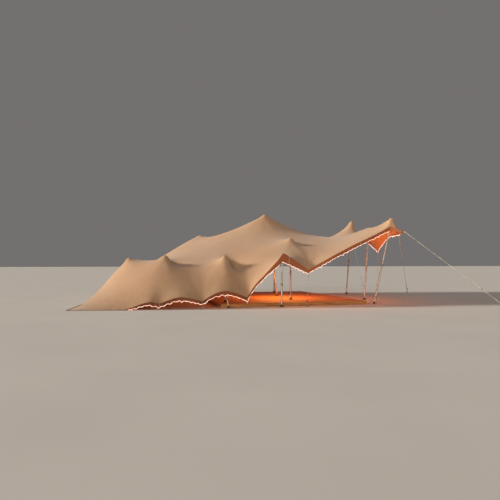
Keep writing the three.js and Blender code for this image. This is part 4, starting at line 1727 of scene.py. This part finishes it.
class Stake:
    """A driven stake, cut level with the ground, that leans away from its rope."""

    def __init__(self, make: StakeMake, seat: np.ndarray, x: float, y: float) -> None:
        """Sets the way it leans, and where the rope is tied to it.

        Args:
            make: Its sizes.
            seat: Where its rope starts.
            x: Its place to the right, at the ground.
            y: Its place to the back.
        """
        self.make = make
        self.foot = np.array([x, y, 0.0])
        away = unit((self.foot - seat) * (1, 1, 0))
        self.axis = unit(away * make.lean + UP)
        self.tie = self.foot + away * make.lean * make.rope_height + UP * make.rope_height

    def add_to(self, shape: Shape, finish: int = 0) -> None:
        """Adds the stake with its mushroomed head.

        Args:
            shape: The piece that it is added to.
            finish: The number of its finish.
        """
        make, sides = self.make, 16
        neck = make.length - make.head_height
        profile = (
            (make.rope_height * make.hidden_share, make.radius),
            (neck - 0.006, make.radius),
            (neck, make.head_radius * make.head_edge),
            (neck + 0.003, make.head_radius),
            (make.length - 0.005, make.head_radius),
            (make.length, make.head_radius * make.head_crown),
        )
        out = circle(sides, side_axes(self.axis))
        level = make.radius * (out - np.outer(out[:, 2] / self.axis[2], self.axis))
        rings = [self.foot + level, *(self.foot + self.axis * h + out * r for h, r in profile)]
        shape.add(np.concatenate(rings), tube_faces(len(rings), sides), finish)

    def add_turns(self, shape: Shape, diameter: float) -> None:
        """Adds the turns of rope round the stake.

        Args:
            shape: The rope.
            diameter: The rope's diameter.
        """
        make = self.make
        pitch, reach = diameter * make.turn_pitch, make.radius + diameter * 0.5 + make.turn_gap
        start = self.tie - self.axis * pitch * make.turns / 2
        path = coil(start, self.axis, reach, pitch, make.turns, make.turns * make.turn_steps)
        shape.sweep(path, diameter * make.turn_rope)


@dataclass
class Rigging:
    """Ropes with their clamps and tensioners, their stakes, the low pegs, and the pins of the ground hem.

    `clamp_ring` and `eyelet` say how far out a ring is, its radius and its wire's. The clamp's numbers are
    shares of its radius, and those of the knot and the tensioner's tail are shares of the rope's diameter.
    """

    canopy: Canopy
    guy_diameter: float = 0.016
    tie_diameter: float = 0.012
    pitch: float = 0.085
    clamp_radius: float = 0.026
    clamp_lean: float = 0.2
    clamp_plate: Profile = ((0, 0.96), (0.003, 1), (0.006, 0.94), (0.008, 0.7))
    clamp_bolt: Profile = ((0.007, 0.008), (0.013, 0.008), (0.014, 0.006))
    clamp_back: float = 0.55
    clamp_ring: tuple[float, float, float] = (0.75, 0.5, 0.13)
    clamp_hook: tuple[float, float] = (-0.2, 0.3)
    hook_aside: float = 0.01
    hook_radius: float = 0.005
    guy_clamp: float = 1.1
    peg_clamp: float = 0.8
    peg_pitch: float = 0.7
    knot_start: float = 0.05
    knot_turns: int = 4
    knot_reach: float = 0.95
    knot_rope: float = 0.42
    knot_tail: tuple[tuple[float, float], ...] = ((0.64, 1.6), (1.44, 2.88))
    slider: Profile = ((-0.045, 0.006), (-0.04, 0.017), (0.04, 0.017), (0.045, 0.006))
    slider_back: float = 0.9
    slider_aside: float = 0.6
    tail_aside: tuple[float, float] = (1.3, 0.9)
    tail_ring: tuple[float, float] = (1.1, 0.3)
    doubled: float = 0.62
    eyelet: tuple[float, float, float] = (0.0015, 0.014, 0.003)
    pin: Profile = (
        (0.002, 0.008), (0.008, 0.008), (0.01, 0.017), (0.013, 0.019), (0.018, 0.017), (0.02, 0.01),
    )
    pin_inset: float = 0.028
    left_pins: int = 9
    left_pins_from: float = 0.6
    side_pins: tuple[float, float] = (1.5, 4.0)
    pins_face: tuple[float, float, float] = (-2.0, 0.0, 0.0)

    def build(self) -> None:
        """Builds all the rigging."""
        for guy in GUYS:
            self._build_guy(guy)
        for peg in HEM_PEGS:
            self._build_hem_peg(peg)
        self._build_ground_pins()

    def _add_clamp(
        self, shape: Shape, at: np.ndarray, away: np.ndarray, plate: np.ndarray, size: float
    ) -> None:
        """Adds the pair of plates that grip the fabric, and the ring that hooks into them.

        Args:
            shape: The rope's piece, with zinc as its second finish.
            at: The edge or fold that is gripped.
            away: The direction of pull.
            plate: The direction through the plates.
            size: Their radius.
        """
        centre = at - away * size * self.clamp_back
        for out in (-plate, plate):
            start = centre + out * (self.canopy.thickness / 2 + CONTACT_GAP)
            shape.revolve(start, out, scaled(self.clamp_plate, size), 20, 1)
            shape.revolve(start, out, self.clamp_bolt, 6, 1)
        ring_at, ring_radius, wire = (share * size for share in self.clamp_ring)
        shape.ring(at + away * ring_at, plate, ring_radius, wire, 1)
        low, high = (at + away * size * share for share in self.clamp_hook)
        low = low - unit(np.cross(away, plate)) * self.hook_aside
        shape.sweep(np.array([low, high]), self.hook_radius, 8, 1)

    def _build_guy(self, guy: RopeLine) -> None:
        """Builds one guy or tie and its stake.

        Args:
            guy: The rope's line.
        """
        hem, size = HEMS[guy.hem], self.clamp_radius * self.guy_clamp
        if guy.pull:
            place, direction, diameter = hem.fold([guy.position])[0], unit(guy.pull), self.guy_diameter
            plate = unit(UP - direction * self.clamp_lean)
        else:
            place, direction, diameter = hem.edge([guy.position])[0], -UP, self.tie_diameter
            plate = np.array([*hem.inward, 0.0])
        stake = Stake(STAKE, place, *guy.ground)
        shape = Shape(ROPE, ZINC)
        self._add_clamp(shape, place, direction, plate, size)
        start = place + direction * size
        rope = unit(stake.tie - start)
        shape.laid_rope(start, stake.tie - rope * (STAKE.radius + diameter * 0.5), diameter, self.pitch)
        self._add_knot(shape, start + rope * self.knot_start, rope, diameter)
        if guy.pull:
            self._add_tensioner(shape, stake.tie - rope * self.slider_back, rope, diameter)
        stake.add_turns(shape, diameter)
        shape.make(f"{guy.name}_rope", "rope", [guy.name])
        pin = Shape(ZINC)
        stake.add_to(pin)
        pin.make(f"{guy.name}_pin", "stake_steel", [f"{guy.name}_stake"])

    def _add_knot(self, shape: Shape, at: np.ndarray, along: np.ndarray, diameter: float) -> None:
        """Adds a hitch of a few turns round the rope, with a short tail.

        Args:
            shape: The rope.
            at: Where the hitch starts.
            along: The rope's direction.
            diameter: The rope's diameter.
        """
        first, _ = side_axes(along)
        path = coil(at, along, diameter * self.knot_reach, diameter, self.knot_turns, self.knot_turns * 12)
        tail = [path[-1] + (first * out + along * on) * diameter for out, on in self.knot_tail]
        shape.sweep(np.concatenate([path, tail]), diameter * self.knot_rope)

    def _add_tensioner(self, shape: Shape, at: np.ndarray, along: np.ndarray, diameter: float) -> None:
        """Adds the slider that takes up the rope's slack, with the doubled rope beside it.

        Args:
            shape: The rope, with zinc as its second finish.
            at: The slider's middle.
            along: The rope's direction.
            diameter: The rope's diameter.
        """
        aside = side_axes(along)[0] * diameter
        shape.revolve(at + aside * self.slider_aside, along, self.slider, 14, 1)
        near, far = self.tail_aside
        end = at + along * self.doubled + aside * far
        shape.laid_rope(at + aside * near, end, diameter, self.pitch)
        ring_radius, wire = (share * diameter for share in self.tail_ring)
        shape.ring(end, aside, ring_radius, wire, 1)

    def _build_hem_peg(self, peg: PegLine) -> None:
        """Builds one low peg with its rope.

        Args:
            peg: The peg's line.
        """
        hem = HEMS[peg.hem]
        place = hem.edge([peg.position])[0]
        stake = Stake(PEG, place, place[0], place[1] + peg.offset)
        shape = Shape(ROPE, ZINC)
        size = self.clamp_radius * self.peg_clamp
        self._add_clamp(shape, place, -UP, np.array([*hem.inward, 0.0]), size)
        start = place - UP * self.clamp_radius
        shape.laid_rope(start, stake.tie, self.tie_diameter, self.pitch * self.peg_pitch)
        stake.add_turns(shape, self.tie_diameter)
        stake.add_to(shape, 1)
        shape.make(f"{peg.name}_set", "rope", [peg.name])

    def _build_ground_pins(self) -> None:
        """Builds the pins and eyelets that hold the hem where it lies on the ground."""
        shape = Shape(ZINC)
        along_left = np.linspace(self.left_pins_from, ROWS - self.left_pins_from, self.left_pins)
        for side, positions in (("left", along_left), ("front", self.side_pins), ("back", self.side_pins)):
            for place in HEMS[side].edge(positions):
                inward = unit((np.array(self.pins_face) - place) * (1, 1, 0))
                centre = place * (1, 1, 0) + UP * self.canopy.thickness + inward * self.pin_inset
                lift, radius, wire = self.eyelet
                shape.ring(centre + UP * lift, UP, radius, wire)
                shape.revolve(centre, UP, self.pin, 16)
        shape.make("ground_hem_pins", "stake_steel")


# String lights


@dataclass
class StringLights:
    """A lit rope under the hem band: clear PVC round a row of lamps, tied up, and slack between ties."""

    radius: float = 0.009
    drop: float = 0.016
    inset: float = 0.044
    sag: float = 0.06
    least_slack: float = 0.2
    sway: float = 0.012
    off_ground: float = 0.016
    lamp_every: float = 0.12
    lamp_shift: float = 0.02
    lamp_radius: float = 0.012
    lamp_neck: Profile = ((0.006, 0.009), (0.012, 0.009), (0.014, 0.007))
    lamp_sunk: float = 0.002
    lamp_taper: float = 0.95
    tie_ring: float = 0.012
    tie_wire: float = 0.003
    tie_radius: float = 0.0035
    tie_gap: float = 0.004
    bare_end: float = 0.05
    end_cap: float = 1.5
    step: float = 0.1
    tied_every: float = 0.6
    seed: int = 11
    strands: tuple[tuple[str, float, float], ...] = (("front", 6.5, 39.0), ("right", 0.4, 25.0))

    def build(self) -> None:
        """Builds both strands."""
        rng = np.random.default_rng(self.seed)
        for side, first, last in self.strands:
            self._build_strand(side, first, last, rng)

    def _path(self, hem: HemSide, first: float, last: float, rng: np.random.Generator) -> np.ndarray:
        """Gives the cable's centre line.

        Args:
            hem: The side of the hem.
            first: The column or row where it starts.
            last: Where it ends.
            rng: Where the slack between ties comes from.

        Returns:
            One point a row.
        """
        positions = np.arange(first, last + 1e-6, self.step)
        points = hem.edge(positions)
        span = (positions / self.tied_every).astype(int)
        between = np.sin(math.pi * positions / self.tied_every) ** 2
        slack = rng.uniform(self.least_slack, 1.0, span[-1] + 1)[span] * between
        inset = self.inset + rng.uniform(-self.sway, self.sway, span[-1] + 1)[span] * between
        points[:, :2] += np.array(hem.inward) * inset[:, None]
        points[:, 2] = np.maximum(points[:, 2] - (self.drop + self.sag * slack), self.off_ground)
        return points

    def _build_strand(self, side: str, first: float, last: float, rng: np.random.Generator) -> None:
        """Builds one strand with its lamps and ties.

        Args:
            side: The side of the hem.
            first: The column or row where it starts.
            last: Where it ends.
            rng: Where its unevenness comes from.
        """
        hem = HEMS[side]
        path = self._path(hem, first, last, rng)
        shape = Shape(GLOW, LAMP, RUBBER)
        shape.sweep(path, self.radius, 10)
        travelled = np.concatenate([[0], np.cumsum(np.linalg.norm(np.diff(path, axis=0), axis=1))])
        places = np.arange(self.bare_end, travelled[-1] - self.bare_end, self.lamp_every)
        for at in places + rng.uniform(-self.lamp_shift, self.lamp_shift, len(places)):
            self._add_lamp(shape, np.array([np.interp(at, travelled, path[:, axis]) for axis in range(3)]))
        start = math.ceil(first / self.tied_every) * self.tied_every
        for position in np.arange(start, last, self.tied_every):
            at = min(int(round((position - first) / self.step)), len(path) - 2)
            cable, edge = path[at], hem.edge([position])[0]
            shape.ring(cable, path[at + 1] - cable, self.tie_ring, self.tie_wire, 2)
            tie = np.array([cable + UP * self.tie_ring, edge + UP * self.tie_gap])
            shape.sweep(tie, self.tie_radius, 6, 2)
        for end in (path[0], path[-1]):
            shape.ball(end, self.radius * self.end_cap, 2)
        shape.make(f"{side}_lit_rope", "light_cable", [f"{side}_string_lights"])

    def _add_lamp(self, shape: Shape, centre: np.ndarray) -> None:
        """Adds a lamp cap with its neck.

        Args:
            shape: The strand.
            centre: The cable's centre line at the lamp.
        """
        r = self.lamp_radius
        shape.revolve(centre, -UP, self.lamp_neck, 10, 2)
        profile = []
        for k in range(1, 9):
            angle, taper = math.pi * k / 8, 1 if k <= 4 else self.lamp_taper
            profile.append((r * (1 - math.cos(angle)), r * math.sin(angle) * taper))
        shape.revolve(centre + UP * (r - self.lamp_sunk), -UP, profile, 12, 1)


# The studio


class LightKind(Enum):
    """A sun, whose light is even and comes from far away, or a soft box."""

    SUN = "SUN"
    BOX = "AREA"


@dataclass(frozen=True)
class StudioLight:
    """A soft light: a sun's size and a box's spread are in degrees, and a box's size in metres."""

    name: str
    kind: LightKind
    size: float
    power: float
    colour: str
    place: tuple[float, float, float]
    aim: tuple[float, float, float] = (0.0, 0.0, 1.0)
    spread: float = 180.0

    def build(self) -> None:
        """Sets the light up."""
        light = bpy.data.lights.new(self.name, self.kind.value)
        if self.kind is LightKind.SUN:
            light.angle = math.radians(self.size)
        else:
            light.shape, light.size, light.spread = "SQUARE", self.size, math.radians(self.spread)
        light.energy, light.color = self.power, linear(self.colour)[:3]
        lamp = add_object(self.name, light)
        lamp.location = self.place
        lamp.rotation_mode = "QUATERNION"
        lamp.rotation_quaternion = (Vector(self.aim) - Vector(self.place)).to_track_quat("-Z", "Y")
        lamp.visible_camera = False


# A low sun from the left, a low fill from the front, and a warm glow inside
STUDIO_LIGHTS = (
    StudioLight("key", LightKind.SUN, 10, 3.2, "FFF4E6", (-18.6, 4.4, 6.9)),
    StudioLight("fill", LightKind.SUN, 30, 0.85, "FFE6D0", (-9.8, -16.9, 5.2)),
    StudioLight(
        "glow on the canopy", LightKind.BOX, 2.4, 70, "FF9C50", (2.4, -1.2, 0.5), (2.7, -1.7, 3), 130
    ),
    StudioLight("glow on the deck", LightKind.BOX, 1.8, 80, "FFA055", (0.3, -1.2, 1.7), (0.3, -1.4, 0), 150),
    StudioLight("glow on the left", LightKind.BOX, 1.6, 7, "FF9648", (-4.2, -0.6, 0.3), (-4.2, -1.2, 2), 130),
)


@dataclass
class Studio:
    """A plain pale floor, soft light and a camera where the photograph was taken from."""

    floor_size: float = 400.0
    floor_level: float = -0.001
    backdrop: str = "EEE9E6"
    backdrop_strength: float = 0.2
    eye: tuple[float, float, float] = (-6.46, -21.56, 1.6)
    azimuth: float = 15.0
    pitch: float = 1.49
    lens: float = 36.0
    sensor: float = 36.0
    view_end: float = 1000.0

    def build(self) -> None:
        """Builds the floor, the lights and the camera."""
        self._build_floor()
        for light in STUDIO_LIGHTS:
            light.build()
        self._build_backdrop()
        self._build_camera()

    def _build_floor(self) -> None:
        """Builds the floor."""
        mesh = bpy.data.meshes.new("studio_floor")
        corners = ((-1, -1), (1, -1), (1, 1), (-1, 1))
        half, z = self.floor_size / 2, self.floor_level
        mesh.from_pydata([(x * half, y * half, z) for x, y in corners], [], [(0, 1, 2, 3)])
        mesh.materials.append(material_of(FLOOR_PAINT))
        floor = add_object("studio_floor", mesh)

    def _build_backdrop(self) -> None:
        """Makes the surroundings pale and dim."""
        world = bpy.data.worlds.new("studio")
        bpy.context.scene.world = world
        world.use_nodes = True
        pale = {"Color": linear(self.backdrop), "Strength": self.backdrop_strength}
        feed(world.node_tree, world.node_tree.nodes["Background"], pale)

    def _build_camera(self) -> None:
        """Builds the camera at the photograph's eye height and angle."""
        data = bpy.data.cameras.new("camera")
        data.sensor_width, data.lens, data.clip_end = self.sensor, self.lens, self.view_end
        camera = add_object("camera", data)
        camera.location = self.eye
        camera.rotation_euler = (math.radians(90 + self.pitch), 0.0, math.radians(-self.azimuth))
        bpy.context.scene.camera = camera
        bpy.context.scene.view_settings.view_transform = "Standard"


def main() -> None:
    """Builds the tent in order."""
    logging.basicConfig(level=logging.INFO, format="%(name)s: %(message)s")
    Studio().build()
    canopy, deck = Canopy(), Deck()
    poles = PoleSet(canopy, deck).build()
    canopy.build(poles)
    Rigging(canopy).build()
    StringLights().build()
    deck.build()


if __name__ == "__main__":
    main()
